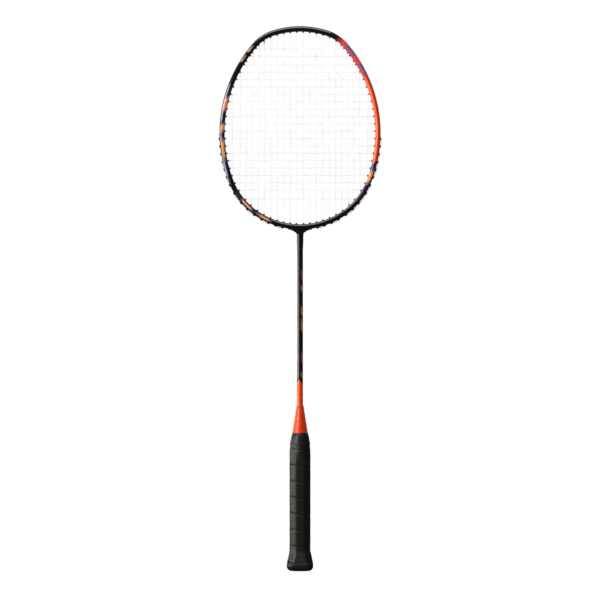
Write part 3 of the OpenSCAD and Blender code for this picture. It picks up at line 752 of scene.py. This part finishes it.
# The neck's half width and half depth by the height above the hoop's lowest point
NECK_UP = [-SPIGOT_L, -20, -14, -7, -5.6, -4.8, -4.1, -3.5, -3, -2.5, -2, -1.4, -0.6, 0.6, 1.6]
NECK_WIDE = [3.8, 4.0, 4.2, 4.32, 4.42, 4.7, 5.2, 5.9, 6.7, 7.6, 8.6, 9.7, 10.8, 11.6, 11.8]
NECK_DEEP = np.interp(NECK_UP, [-SPIGOT_L, -20, -14, -7, 1.6], [3.8, 4.0, 4.18, 4.28, 5.0])
FLARE_LOW, FLARE_H, LIP, LIP_H = -7.0, 8.0, 0.06, 0.4


def neck_rings(around=72):
    """The neck from a round collar to a wide, squarer flare that ends inside the hoop."""
    low, high = NECK_UP[0], NECK_UP[-1]
    collar = [low, low + 0.15, low + LIP_H]
    flare = np.linspace(FLARE_LOW + 0.4, high, 34)
    t = circle(around)
    rings = []
    for h in np.concatenate([collar, np.linspace(low + 1, FLARE_LOW, 14), flare]):
        wide, deep = (curve_through(NECK_UP, half, h) for half in (NECK_WIDE, NECK_DEEP))
        lip = LIP * ease((low + LIP_H - h) / LIP_H)
        power = 2 / (2 + ease((h - FLARE_LOW) / FLARE_H))
        x, y = (np.sign(v) * np.abs(v) ** power for v in (np.cos(t), np.sin(t)))
        flat = np.stack([x * (wide - lip), y * (deep - lip)], 1)
        rings.append(flat_ring(flat, HOOP_LOW + h))
    return rings


def placed(rings, h):
    """Turned rings set on a hole: local Z out along its axis, from the inner mouth."""
    s, c = sin(h[1]), cos(h[1])
    origin = along(h, 0.0)
    x = origin[0] + rings[..., 0] * c + rings[..., 2] * s
    z = origin[1] - rings[..., 0] * s + rings[..., 2] * c
    return np.stack([x, rings[..., 1], z], -1)


def drill_rings(radius, low, high, segments=24):
    return lathe([[radius, low], [radius, high]], segments).swapaxes(0, 1)


# Lengths by which the tools that cut the neck stand out of it
SEAT_OVER, SOCKET_OVER = 6.0, 5.0


def build_head_frame(material):
    hoop = mesh_object("head_frame_shell", *tube(hoop_rings(), loop=True))
    neck = mesh_object("neck", *tube(neck_rings()))
    seats = []
    for side in (-1, 1):
        h = low_hole(side, 0)
        seats.append(tube(placed(drill_rings(FLANGE_R + GLUE_FIT, reach(h), reach(h) + SEAT_OVER), h)))
    cut_with(neck, mesh_object("seats", *joined(seats)), "DIFFERENCE")
    socket = drill_rings(SHAFT_R - SPIGOT_STEP + GLUE_FIT, NECK_LOW - SOCKET_OVER, SOCKET_TOP, 48)
    cut_with(neck, mesh_object("socket", *tube(socket)), "DIFFERENCE")
    cut_with(hoop, neck, "UNION")
    co = np.empty(len(hoop.data.vertices) * 3)
    hoop.data.vertices.foreach_get("co", co)
    co = co.reshape(-1, 3) / MM
    run, deep = run_and_depth(co[:, 0], co[:, 2])
    for name, value in (("run", run), ("deep", deep)):
        layer = hoop.data.attributes.new(name, "FLOAT", "POINT")
        layer.data.foreach_set("value", (value * MM).astype(np.float32))
    finish_piece(hoop, "head_frame", "frame_lacquer", material)


# Grommets: the flange has a saddle that the string lies in
SADDLE_HW, SADDLE_SLOPE, SADDLE_LIP = 0.74, 0.3, 0.5
TIP_EASE, TIP_TAPER, TIP_RISE = 0.12, 0.16, 0.4
FLANGE_EASE, FLANGE_SLOPE, FLANGE_MOUTH = 0.1, 0.4, 0.35


def grommet_rings(h, segments=24):
    far = reach(h)
    top = far + FLANGE_H
    bore, barrel, flange = GROMMET_BORE_R, GROMMET_R, FLANGE_R
    profile = rounded([
        [bore, TIP_EASE], [bore + TIP_EASE, 0.0], [barrel - TIP_TAPER, 0.0], [barrel, TIP_RISE],
        [barrel, far], [flange, far], [flange, top - FLANGE_EASE], [flange - FLANGE_SLOPE, top],
        [bore + FLANGE_MOUTH, top], [bore, top - FLANGE_MOUTH],
    ], [0.05, 0.08, 0.14, 0.2, 0.02, 0.06, 0.25, 0.2, 0.2, 0.15], 3)
    rings = lathe(profile, segments)
    beside = ease((np.abs(rings[..., 1]) - SADDLE_HW) / SADDLE_SLOPE)
    rings[..., 2] += SADDLE_LIP * beside * ease((rings[..., 2] - far) / FLANGE_H)
    return placed(rings, h)


def build_grommets(node, holes, material):
    parts = [tube(grommet_rings(h), loop=True) for h in holes]
    add_piece(node + "_moulded", joined(parts), node, "grommet_plastic", material)


# Strings: woven in the bed, and led along the frame between holes
RUN_RISE = FLANGE_H + STRING_FIT + STRING_R
# Taken off the radius of the woven runs
STRING_THIN = 0.005
# Points inside a grommet, steps on the frame, and their least distance from a bend
INSIDE, RUN_STEP, BEND_CLEAR = (0.5, 3.0), 1.5, 0.9
# Cross whose holes the main string's ends are tied at
TIE_CROSS = 15


def run_depth(a):
    return SEAT_CUT - RUN_RISE + (GROOVE_DEEP if abs(a) < GROOVE_END - GROOVE_RISE else 0.0)


def bend(h, way):
    """The string's turn from a hole's axis onto the frame."""
    out = []
    for b in np.arange(0, 91, 15):
        rise = reach(h) + RUN_RISE - STRING_TURN_R * (1 - sin(b))
        side = way * STRING_TURN_R * (1 - cos(b))
        out.append(along(h, rise) + side * np.array([cos(h[1]), -sin(h[1])]))
    return out


def turn(p, q, lane):
    """Out through hole p, along the frame and in through hole q, in the layer y = lane."""
    way = np.sign(q[0] - p[0])
    run_p, run_q = (float(np.sign(h[0]) * run_to(abs(h[0]))) for h in (p, q))
    steps = max(3, round(abs(run_p - run_q) / RUN_STEP))
    ends = (-STRING_LEAD, *INSIDE)
    flat = [along(p, s) for s in ends] + bend(p, way)
    back = bend(q, -way)
    first, last = flat[-1], back[-1]
    for i in range(1, steps):
        a = p[0] + (q[0] - p[0]) * i / steps
        point = np.array(rim(a, run_depth(a)))
        if min(np.hypot(*(point - first)), np.hypot(*(point - last))) > BEND_CLEAR:
            flat.append(point)
    flat += back[::-1] + [along(q, s) for s in reversed(ends)]
    return [np.array([x, lane, z]) for x, z in flat]


def woven(start, end, knots, lane, steps=6):
    """A run of string from start to end that passes the knots (share of the way, y)."""
    knots = [(0.0, lane)] + sorted(knots) + [(1.0, lane)]
    points = []
    for (t0, y0), (t1, y1) in zip(knots, knots[1:]):
        for i in range(1, steps + 1):
            u = i / steps
            x, z = start + (end - start) * (t0 + (t1 - t0) * u)
            points.append(np.array([x, y0 + (y1 - y0) * (1 - math.cos(math.pi * u)) / 2, z]))
    return points[:-1]


MAINS = [(-1, PAIRS - 1 - m) if m < PAIRS else (1, m - PAIRS) for m in range(2 * PAIRS)]
MAIN_HOLES = [(low_hole(*m), top_hole(*m)) for m in MAINS]
CROSS_HOLES = [(cross_hole(-1, j), cross_hole(1, j)) for j in range(CROSSES)]
# Holes where the strings' ends are tied, and the way inward from each
MAIN_TIES = [(cross_hole(side, TIE_CROSS), (-side, 0, 0)) for side in (-1, 1)]
CROSS_TIES = [(top_hole(-1, TOP_MAINS - 1), (0, 0, -1)), (low_hole(1, LOW_MAINS - 1), (0, 0, 1))]
# Least distance of a crossing from the ends of both runs
CROSSING_CLEAR = 1.2


def crossing(m, j):
    """Share of the way up main m and along cross j where they meet, or None."""
    low, high = map(lead, MAIN_HOLES[m])
    left, right = map(lead, CROSS_HOLES[j])
    t = (left[1] - low[1]) / (high[1] - low[1])
    x = low[0] + (high[0] - low[0]) * t
    s = (x - left[0]) / (right[0] - left[0])
    up, across = abs(high[1] - low[1]) * min(t, 1 - t), (right[0] - left[0]) * min(s, 1 - s)
    return (t, s) if min(up, across) > CROSSING_CLEAR else None


def over(m, j):
    return LANE_Y if (m + j) % 2 else -LANE_Y


def main_knots(m):
    return [(crossing(m, j)[0], over(m, j)) for j in range(CROSSES) if crossing(m, j)]


def cross_knots(j):
    return [(crossing(m, j)[1], -over(m, j)) for m in range(len(MAINS)) if crossing(m, j)]


def string_path(holes, ties, knots, lane):
    """A string's whole way: from one tied end, to and fro through the bed, to the other."""
    path = turn(ties[0][0], holes[0][0], lane)
    for i, (start, end) in enumerate(holes):
        passed = knots(i)
        if i % 2:
            start, end, passed = end, start, [(1 - t, y) for t, y in passed]
        path += woven(lead(start), lead(end), passed, lane)
        after = holes[i + 1][(i + 1) % 2] if i + 1 < len(holes) else ties[1][0]
        path += turn(end, after, lane)
    return path


def swept(path, radius, sides=8, least=1e-4):
    """Rings of a round string along a path, turned with it and never twisted."""
    path = np.array(path)
    step = np.diff(path, axis=0)
    path = path[np.concatenate([[True], np.linalg.norm(step, axis=1) > least])]
    step = unit(np.diff(path, axis=0))
    tangent = unit(np.concatenate([step[:1], step[:-1] + step[1:], step[-1:]]))
    side = np.array([0.0, 1.0, 0.0])
    t = circle(sides)
    rings = []
    for p, d in zip(path, tangent):
        side = unit(side - d * np.dot(side, d))
        other = np.cross(d, side)
        rings.append(p + radius * (np.cos(t)[:, None] * side + np.sin(t)[:, None] * other))
    return np.array(rings)


# Tied ends: room round the neighbour and between turns, the lead-in, and the tail
TIE_R, TIE_PITCH = 2 * LANE_Y + 0.02, 2 * STRING_R + 0.03
TIE_IN, TIE_LEADS, TIE_START = 0.3, (0.9, 0.3), 0.25
TIE_TURNS, TIE_STEPS, TAIL_L, TAIL_CURL = 2.3, 46, 2.4, 0.25


def hitch(h, inward, lane):
    """A string's tail from hole h on inward, wound round its neighbour in the other layer."""
    inward, toward = np.array(inward), np.array([0, -np.sign(lane), 0])
    x, z = lead(h)
    start = np.array([x, lane, z]) + inward * TIE_IN
    across = np.cross(inward, toward)
    centre = start + toward * 2 * LANE_Y
    path = [start - inward * q for q in TIE_LEADS]
    for t in np.linspace(0, TIE_TURNS, TIE_STEPS):
        a = 2 * np.pi * t
        turned = -toward * math.cos(a) + across * math.sin(a)
        path.append(centre + inward * (TIE_START + TIE_PITCH * t) + TIE_R * turned)
    last = path[-1]
    leave = unit(last - path[-2])
    away = unit(last - (centre + inward * np.dot(last - centre, inward)))
    path += [last + leave * q + away * TAIL_CURL * q * q for q in np.linspace(0.3, TAIL_L, 7)]
    return path


def build_string(node, path, material):
    skin = tube(swept(path, STRING_R - STRING_THIN))
    add_piece(node + "_woven", skin, node, "string_nylon", material, sharp=80)


def build_ties(node, ties, lane, material):
    parts = [tube(swept(hitch(*tie, lane), STRING_R, sides=10)) for tie in ties]
    add_piece(node + "_tied", joined(parts), node, "string_nylon", material, sharp=80)


# Shaft and cone: gaps to the neck and its socket, and distances of rings
NECK_GAP, ROOF_GAP, EDGE_RING, RING_STEP = 0.02, 0.05, 1.0, 12.0
# Heights and tapers of the cone's foot and top, and the ease of its mouth
FOOT_H, FOOT_TAPER, LIP_TOP_H, LIP_TAPER, CONE_EASE, CONE_EASE_H = 3.0, 0.15, 2.6, 0.02, 0.12, 0.4


def build_shaft(material):
    low, bore, spigot = HANDLE_TOP - SHAFT_IN_HANDLE, SHAFT_R - SHAFT_WALL, SHAFT_R - SPIGOT_STEP
    shoulder, end = NECK_LOW - NECK_GAP, SOCKET_TOP - ROOF_GAP
    profile = rounded([
        [bore, low], [SHAFT_R, low], [SHAFT_R, low + EDGE_RING], [SHAFT_R, NECK_LOW - EDGE_RING],
        [SHAFT_R, shoulder], [spigot, shoulder], [spigot, end], [bore, end],
    ], [0.2, 0.4, 0, 0, 0.15, 0.1, 0.3, 0.2])
    points = []
    for p, q in zip(profile, np.roll(profile, -1, axis=0)):
        steps = max(1, int(np.hypot(*(q - p)) / RING_STEP))
        points += [p + (q - p) * i / steps for i in range(steps)]
    skin = tube(lathe(points, 64), loop=True)
    add_piece("shaft_tube", skin, "shaft", "shaft_lacquer", material, sharp=40)


def build_cone(material):
    bore, socket = SHAFT_R + GLUE_FIT, TENON_R + GLUE_FIT
    step = HANDLE_TOP + TENON_H + GLUE_FIT
    profile = rounded([
        [bore, step], [socket, step], [socket, HANDLE_TOP], [CONE_BASE_R, HANDLE_TOP],
        [CONE_BASE_R - FOOT_TAPER, HANDLE_TOP + FOOT_H], [CONE_TOP_R + LIP_TAPER, CONE_TOP - LIP_TOP_H],
        [CONE_TOP_R, CONE_TOP], [bore + CONE_EASE, CONE_TOP], [bore, CONE_TOP - CONE_EASE_H],
    ], [0.2, 0.2, 0.1, 0.3, 1.2, 2.0, 0.6, 0.1, 0.1], 6)
    skin = tube(lathe(profile, 64), loop=True)
    add_piece("cone_shell", skin, "cone_cap", "cone_lacquer", material, sharp=40)


# Handle: octagonal sections with as many points on each side as on each corner, from the right
SIDE_POINTS = 6
AROUND = 8 * 2 * SIDE_POINTS
BEVEL_GROWTH = 2 - math.sqrt(2)


def octagon(hw, hd, bevel, soft):
    half = np.array([[hw, bevel - hd], [hw, hd - bevel], [hw - bevel, hd], [bevel - hw, hd]])
    corners = np.concatenate([half, -half])
    steps = np.linspace(0, 1, SIDE_POINTS + 1)[:-1]
    points = []
    for p, q, r in zip(corners, np.roll(corners, -1, axis=0), np.roll(corners, -2, axis=0)):
        a, b, c = p + unit(q - p) * soft, q - unit(q - p) * soft, q + unit(r - q) * soft
        points += [a + (b - a) * u for u in steps]
        points += [(1 - u) ** 2 * b + 2 * u * (1 - u) * q + u * u * c for u in steps]
    return np.array(points)


def hand_half(z):
    """Half width and half depth under the grip, which widen over the butt's skirt."""
    share = np.clip((SKIRT_TOP - z) / (SKIRT_TOP - RIM_H), 0, 1)
    halves = (HANDLE_HW, BUTT_HW), (HANDLE_HD, BUTT_HD)
    return [half + share * (butt - SKIRT_INSET - half) for half, butt in halves]


# The octagon turns round between two heights, and its corners ease into the turned end
TURNED_FIT, ROUND_LOW, ROUND_HIGH = 0.1, 134.0, 152.0
HAND_SOFT, EASE_IN, EASE_REACH = 3.0, 0.25, 0.8


@lru_cache(maxsize=None)
def hand_ring(z, grow):
    """Section round the handle at height z, a distance outside what is under the grip."""
    wide, deep = (half + grow for half in hand_half(z))
    ring = octagon(wide, deep, BEVEL + BEVEL_GROWTH * grow, HAND_SOFT)
    far = np.linalg.norm(ring, axis=1)
    out = ring / far[:, None]
    oval = 1 / np.hypot(out[:, 0] / wide, out[:, 1] / deep)
    far = far + (oval - far) * ease((z - ROUND_LOW) / (ROUND_HIGH - ROUND_LOW))
    limit = TURNED_R + TURNED_FIT + max(0.0, HANDLE_TOP - z) * TURNED_SLOPE + grow
    eased = np.minimum(far, limit) - EASE_IN * np.maximum(0, 1 - np.abs(far - limit) / EASE_REACH) ** 2
    return out * eased[:, None]


def grip_thick(z):
    thin = np.clip((z - HANDLE_TOP + GRIP_THIN_H) / GRIP_THIN_H, 0, 1)
    return GRIP_T - (GRIP_T - GRIP_END_T) * thin


GRIP_LOW, GRIP_HIGH = RIM_H + GRIP_END_GAP, HANDLE_TOP - GRIP_END_GAP
GRIP_MID, GRIP_TIP, STRIP = 80.0, 1.0, GRIP_PITCH + 2.5
# Outer and inner faces of the strip: (distance below its upper edge, height)
OUTER = [
    (0, 1.78), (0.05, 1.86), (0.18, 1.96), (0.42, 2.04), (0.9, 2.08), (2.0, 2.08), (4.0, 2.05),
    (7.0, 2.01), (12.0, 1.98), (16.5, 1.97), (18.0, 1.95), (18.7, 1.9), (19.2, 1.83), (19.6, 1.75),
    (20.0, 1.62), (21.2, 0.9), (22.5, 0.16),
]
INNER = [(22.5, 0.0), (12.0, 0.0), (2.9, 0.0), (2.4, 0.3), (1.2, 1.06), (0.3, 1.62), (0.0, 1.74)]


def strip_section(i, top):
    """Section of the strip at point i round the handle, cut at the grip's ends."""
    least, most = max(0.0, top - GRIP_HIGH), min(STRIP, top - GRIP_LOW)
    section = []
    for face in (OUTER, INNER):
        for s, h in face:
            kept = min(max(s, least), most)
            if kept != s:
                h = np.interp(kept, *zip(*sorted(face)))
            z = top - kept
            grow = GRIP_FIT + h * grip_thick(z) / GRIP_T
            x, y = hand_ring(round(z, 2), round(grow, 2))[i]
            section.append([-x, y, z])
    return section


def build_grip(material):
    around = hand_ring(GRIP_MID, 1.0)
    lengths = np.linalg.norm(np.roll(around, -1, axis=0) - around, axis=1)
    share = np.concatenate([[0], np.cumsum(lengths)[:-1]]) / lengths.sum()
    start = GRIP_LOW + GRIP_TIP - GRIP_PITCH
    turns = math.ceil((GRIP_HIGH - GRIP_LOW + STRIP) / GRIP_PITCH) + 1
    rings = []
    for n in range(turns * AROUND):
        edge = start + GRIP_PITCH * (n // AROUND + share[n % AROUND])
        if edge > GRIP_HIGH - GRIP_TIP:
            break
        rings.append(strip_section(n % AROUND, edge + STRIP))
    add_piece("grip_wound", tube(rings), "grip_wrap", "grip_leather", material, sharp=60)


def cone_r(z):
    return CONE_BASE_R - (z - HANDLE_TOP) * (CONE_BASE_R - CONE_TOP_R) / CONE_H


TAPE_LOW, TAPE_HIGH = GRIP_HIGH - TAPE_H / 2, GRIP_HIGH + TAPE_H / 2
TAPE_EDGE, GRIP_SWELL, CONE_BLEND = 0.6, 1.12, 6.0
# A ledge at the edge of each of the tape's turns
LEDGES = (TAPE_LOW + 2.0, GRIP_HIGH + 0.8, TAPE_HIGH - 3.0)
LEDGE_T, LEDGE_SOFT, LEDGE_L, LEDGE_FADE = 0.12, 0.25, 3.2, 2.8
# The lapped end at the back, in points round the tape, and the tape's slight waves
LAP_T, LAP_FROM, LAP_RISE, LAP_TO, LAP_FADE = 0.25, 20, 3.0, 44, 14.0
WAVE, WAVE_ROUND, WAVE_UP, WAVE_BEAT = 0.05, 0.39, 0.9, 1.7


def tape_heights():
    """Heights of the tape's rings, closer at its ends and ledges."""
    heights = [TAPE_LOW + up for up in (0.0, 0.06, 0.4)]
    heights += [ledge + up for ledge in LEDGES for up in (-0.9, -LEDGE_SOFT, 0.0, LEDGE_SOFT)]
    heights += [GRIP_HIGH + up for up in (-4.0, -2.0, 2.6)]
    return sorted(heights + [TAPE_HIGH - down for down in (1.4, 0.5, 0.0)])


def tape_thick(z):
    thick = TAPE_T * (TAPE_EDGE if z in (TAPE_LOW, TAPE_HIGH) else 1.0)
    for ledge in LEDGES:
        below = ease((ledge - z) / LEDGE_SOFT + 0.5)
        thick += LEDGE_T * below * ease((z - ledge + LEDGE_L) / LEDGE_FADE)
    return thick


def build_tape(material):
    """Tape wound round the grip's end and the cone, with its end lapped at the back."""
    i = np.arange(AROUND)
    lap = LAP_T * ease((i - LAP_FROM) / LAP_RISE) * ease((LAP_TO - i) / LAP_FADE)
    inner, outer = [], []
    for z in tape_heights():
        under = hand_ring(min(z, GRIP_HIGH), GRIP_FIT + GRIP_SWELL * grip_thick(z) + TAPE_FIT)
        far = np.linalg.norm(under, axis=1)
        out = under / far[:, None]
        t = ease((z - GRIP_HIGH) / CONE_BLEND)
        radius = far * (1 - t) + (cone_r(max(z, HANDLE_TOP)) + TAPE_FIT) * t
        wave = WAVE * np.sin(i * WAVE_ROUND + z * WAVE_UP) * math.sin(z * WAVE_BEAT)
        inner.append(flat_ring(out * radius[:, None], z))
        outer.append(flat_ring(out * (radius + tape_thick(z) + lap + wave)[:, None], z))
    skin = tube(inner[::-1] + outer, loop=True)
    add_piece("tape_band", skin, "finishing_tape", "tape_vinyl", material)


# Butt: (radius, height) of its dish, (inset, height) of its rim's edge, and heights in its skirt
DISH = [(2.0, 0.55), (6.6, 0.5), (7.0, 0.42), (7.3, 0.15), (7.6, 0.03), (8.2, 0.0)]
RIM_EDGE = [(0.05, 8.0), (0.15, RIM_H - 0.5), (0.35, RIM_H - 0.12), (0.7, RIM_H)]
SKIRT_Z = [RIM_H, RIM_H + 0.3, 15.0, 20.0, SKIRT_TOP]
CORE_Z = [SKIRT_TOP, 15.0, BUTT_FLOOR + 0.02]
END_SOFT, RIM_SOFT, SKIRT_SOFT, CORE_SOFT = 2.2, 3.2, 1.2, 0.8


def build_butt(material):
    """Moulded cap: domed end with a plain round dish, rounded rim, and a skirt round the core."""
    end = unit(octagon(BUTT_HW - BUTT_ROUND_W, BUTT_HD - BUTT_ROUND_W, BEVEL, END_SOFT))
    rings = [flat_ring(end * radius, z) for radius, z in DISH]
    t = np.linspace(0, 90, 14)
    dome = list(zip(BUTT_ROUND_W * (1 - sin(t)), BUTT_ROUND_H * (1 - cos(t))))
    for inset, z in dome + RIM_EDGE:
        rings.append(flat_ring(octagon(BUTT_HW - inset, BUTT_HD - inset, BEVEL, RIM_SOFT), z))
    rings += [flat_ring(octagon(*hand_half(z), BEVEL, SKIRT_SOFT), z) for z in SKIRT_Z]
    grow = GLUE_FIT - BUTT_STEP
    core = octagon(HANDLE_HW + grow, HANDLE_HD + grow, BEVEL + BEVEL_GROWTH * grow, CORE_SOFT)
    rings += [flat_ring(core, z) for z in CORE_Z]
    add_piece("butt_shell", tube(rings), "butt_cap", "cap_plastic", material)


# Pieces
build_head_frame(frame_paint())
GROMMET = moulded("grommet_plastic", srgb(11, 11, 13), srgb(30, 30, 34), rough=0.42, grain=2600)
SHARED = SHARED_TOP + SHARED_LOW
SIDE_CROSSES = [j for j in range(CORNER_CROSSES, CROSSES) if j not in SHARED]
MIRRORED = {
    "top": (top_hole, range(TOP_MAINS)),
    "bottom": (low_hole, range(LOW_MAINS)),
    "shared": (cross_hole, SHARED),
}
for word, (place, numbers) in MIRRORED.items():
    build_grommets(word + "_grommets", [place(way, i) for way in (-1, 1) for i in numbers], GROMMET)
for word, way in (("left", -1), ("right", 1)):
    corner = [hole(way, a) for a in CORNER_AT] + [cross_hole(way, j) for j in range(CORNER_CROSSES)]
    build_grommets(word + "_corner_grommets", corner, GROMMET)
    build_grommets(word + "_grommets", [cross_hole(way, j) for j in SIDE_CROSSES], GROMMET)
# The crosses catch less light than the mains, so they are a little whiter
MAIN_NYLON = string_nylon("main_nylon", srgb(221, 224, 225), srgb(234, 235, 235))
CROSS_NYLON = string_nylon("cross_nylon", srgb(240, 243, 244), srgb(249, 250, 250))
build_string("main_string", string_path(MAIN_HOLES, MAIN_TIES, main_knots, -LANE_Y), MAIN_NYLON)
build_string("cross_string", string_path(CROSS_HOLES, CROSS_TIES, cross_knots, LANE_Y), CROSS_NYLON)
build_ties("main_string_knots", MAIN_TIES, -LANE_Y, MAIN_NYLON)
build_ties("cross_string_knots", CROSS_TIES, LANE_Y, CROSS_NYLON)
build_shaft(shaft_paint())
build_cone(cone_paint())
build_grip(grip_leather())
build_tape(tape_vinyl())
build_butt(moulded("cap_plastic", srgb(17, 17, 18), srgb(38, 37, 37), rough=0.46, grain=1800))
WOOD = srgb(206, 168, 120), srgb(168, 122, 78), (420, 5.0, 0.06), (0.55, 0.75), (0.2, 0.2)
CAST = srgb(190, 190, 192), srgb(160, 160, 163), (2400, 3.0, 0.1), (0.29, 0.43), (0.1, 0.05)
WIRE = srgb(200, 200, 202), srgb(150, 150, 152), (2400, 3.0, 0.1), (0.24, 0.38), (0.1, 0.05)
HIDDEN = {
    "handle_core": grained("handle_wood", *WOOD),
    "t_joint": grained("joint_metal", *CAST, metallic=1.0),
    "butt_staples": grained("staple_steel", *WIRE, metallic=1.0),
}
for node, material in HIDDEN.items():
    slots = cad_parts[node].data.materials
    slots.clear()
    slots.append(material)


# Stage, in metres: pale floor, soft panels round the racket, and the camera
FLOOR_HALF, FLOOR_Z, FLOOR_GREY = 30.0, -0.0004, 0.04
PANEL_TARGET, PANEL_GAIN = (0.0, 0.0, 0.4), 4.0
ROOM_LEVEL, WHITE_LEVEL = 0.06, 1.0
CAMERA_FAR, VIEW_W, VIEW_Z, CLIP_END = 5.0, 0.7437, 0.3357, 100.0
SENSOR_MM = 36.0


def build_floor():
    """White floor that glows and takes little light, no brighter than the white behind it."""
    n = Nodes("floor")
    grey = (FLOOR_GREY, FLOOR_GREY, FLOOR_GREY, 1)
    n.set(Base_Color=grey, Roughness=0.9, Emission_Color=ON, Emission_Strength=WHITE_LEVEL)
    mesh = bpy.data.meshes.new("floor")
    corners = [(FLOOR_HALF * x, FLOOR_HALF * y, 0) for x, y in ((-1, -1), (1, -1), (1, 1), (-1, 1))]
    mesh.from_pydata(corners, [], [(0, 1, 2, 3)])
    obj = linked("floor", mesh)
    obj.location.z = FLOOR_Z
    obj.data.materials.append(n.owner)
    obj.visible_diffuse = False
    obj.visible_glossy = False


def softbox(name, turned, height, distance, size, radiance, shine=True):
    """Soft panel a distance from the racket, turned from the camera's side toward the left."""
    light = bpy.data.lights.new(name, "AREA")
    light.shape = "RECTANGLE"
    light.size, light.size_y = size
    light.energy = radiance * PANEL_GAIN * size[0] * size[1]
    obj = linked(name, light)
    obj.location = (-distance * sin(turned), -distance * cos(turned), height)
    obj.visible_camera = False
    obj.visible_glossy = shine
    direction = Vector(PANEL_TARGET) - obj.location
    obj.rotation_euler = direction.to_track_quat("-Z", "Y").to_euler()


def build_world():
    """White behind the racket and its clear strings, and a dim room for everything else."""
    n = Nodes("studio", "worlds", "Background")
    bpy.context.scene.world = n.owner
    path = n.add("LightPath").outputs
    seen = n.math("MAXIMUM", path["Is Camera Ray"], path["Is Transmission Ray"])
    n.set(Color=ON, Strength=n.mapped(seen, 0, 1, ROOM_LEVEL, WHITE_LEVEL))


def build_camera():
    """A long lens square to the string bed, framed as a square picture."""
    data = bpy.data.cameras.new("camera")
    data.sensor_width = SENSOR_MM
    data.lens = SENSOR_MM * CAMERA_FAR / VIEW_W
    data.clip_end = CLIP_END
    obj = linked("camera", data)
    obj.location = (0.0, -CAMERA_FAR, VIEW_Z)
    obj.rotation_euler = (math.pi / 2, 0, 0)
    bpy.context.scene.camera = obj


build_floor()
softbox("key_low", 76, 0.21, 1.6, (2.3, 0.42), 2.9)
softbox("key_grip", 86, 0.085, 1.5, (1.3, 0.16), 2.4)
softbox("key_side", 80, 0.75, 1.6, (1.7, 0.9), 3.0, shine=False)
softbox("strip", 42, 0.745, 1.6, (0.55, 0.49), 9.5)
softbox("over", 15, 1.9, 1.0, (1.6, 0.9), 5.0)
softbox("fill", 10, 0.7, 2.8, (1.6, 1.6), 0.4, shine=False)
softbox("back", 150, 0.9, 2.0, (1.4, 1.4), 2.2)
softbox("back_right", 235, 0.5, 1.8, (1.4, 1.2), 2.4, shine=False)
build_world()
build_camera()
bpy.context.scene.view_settings.view_transform = "Standard"
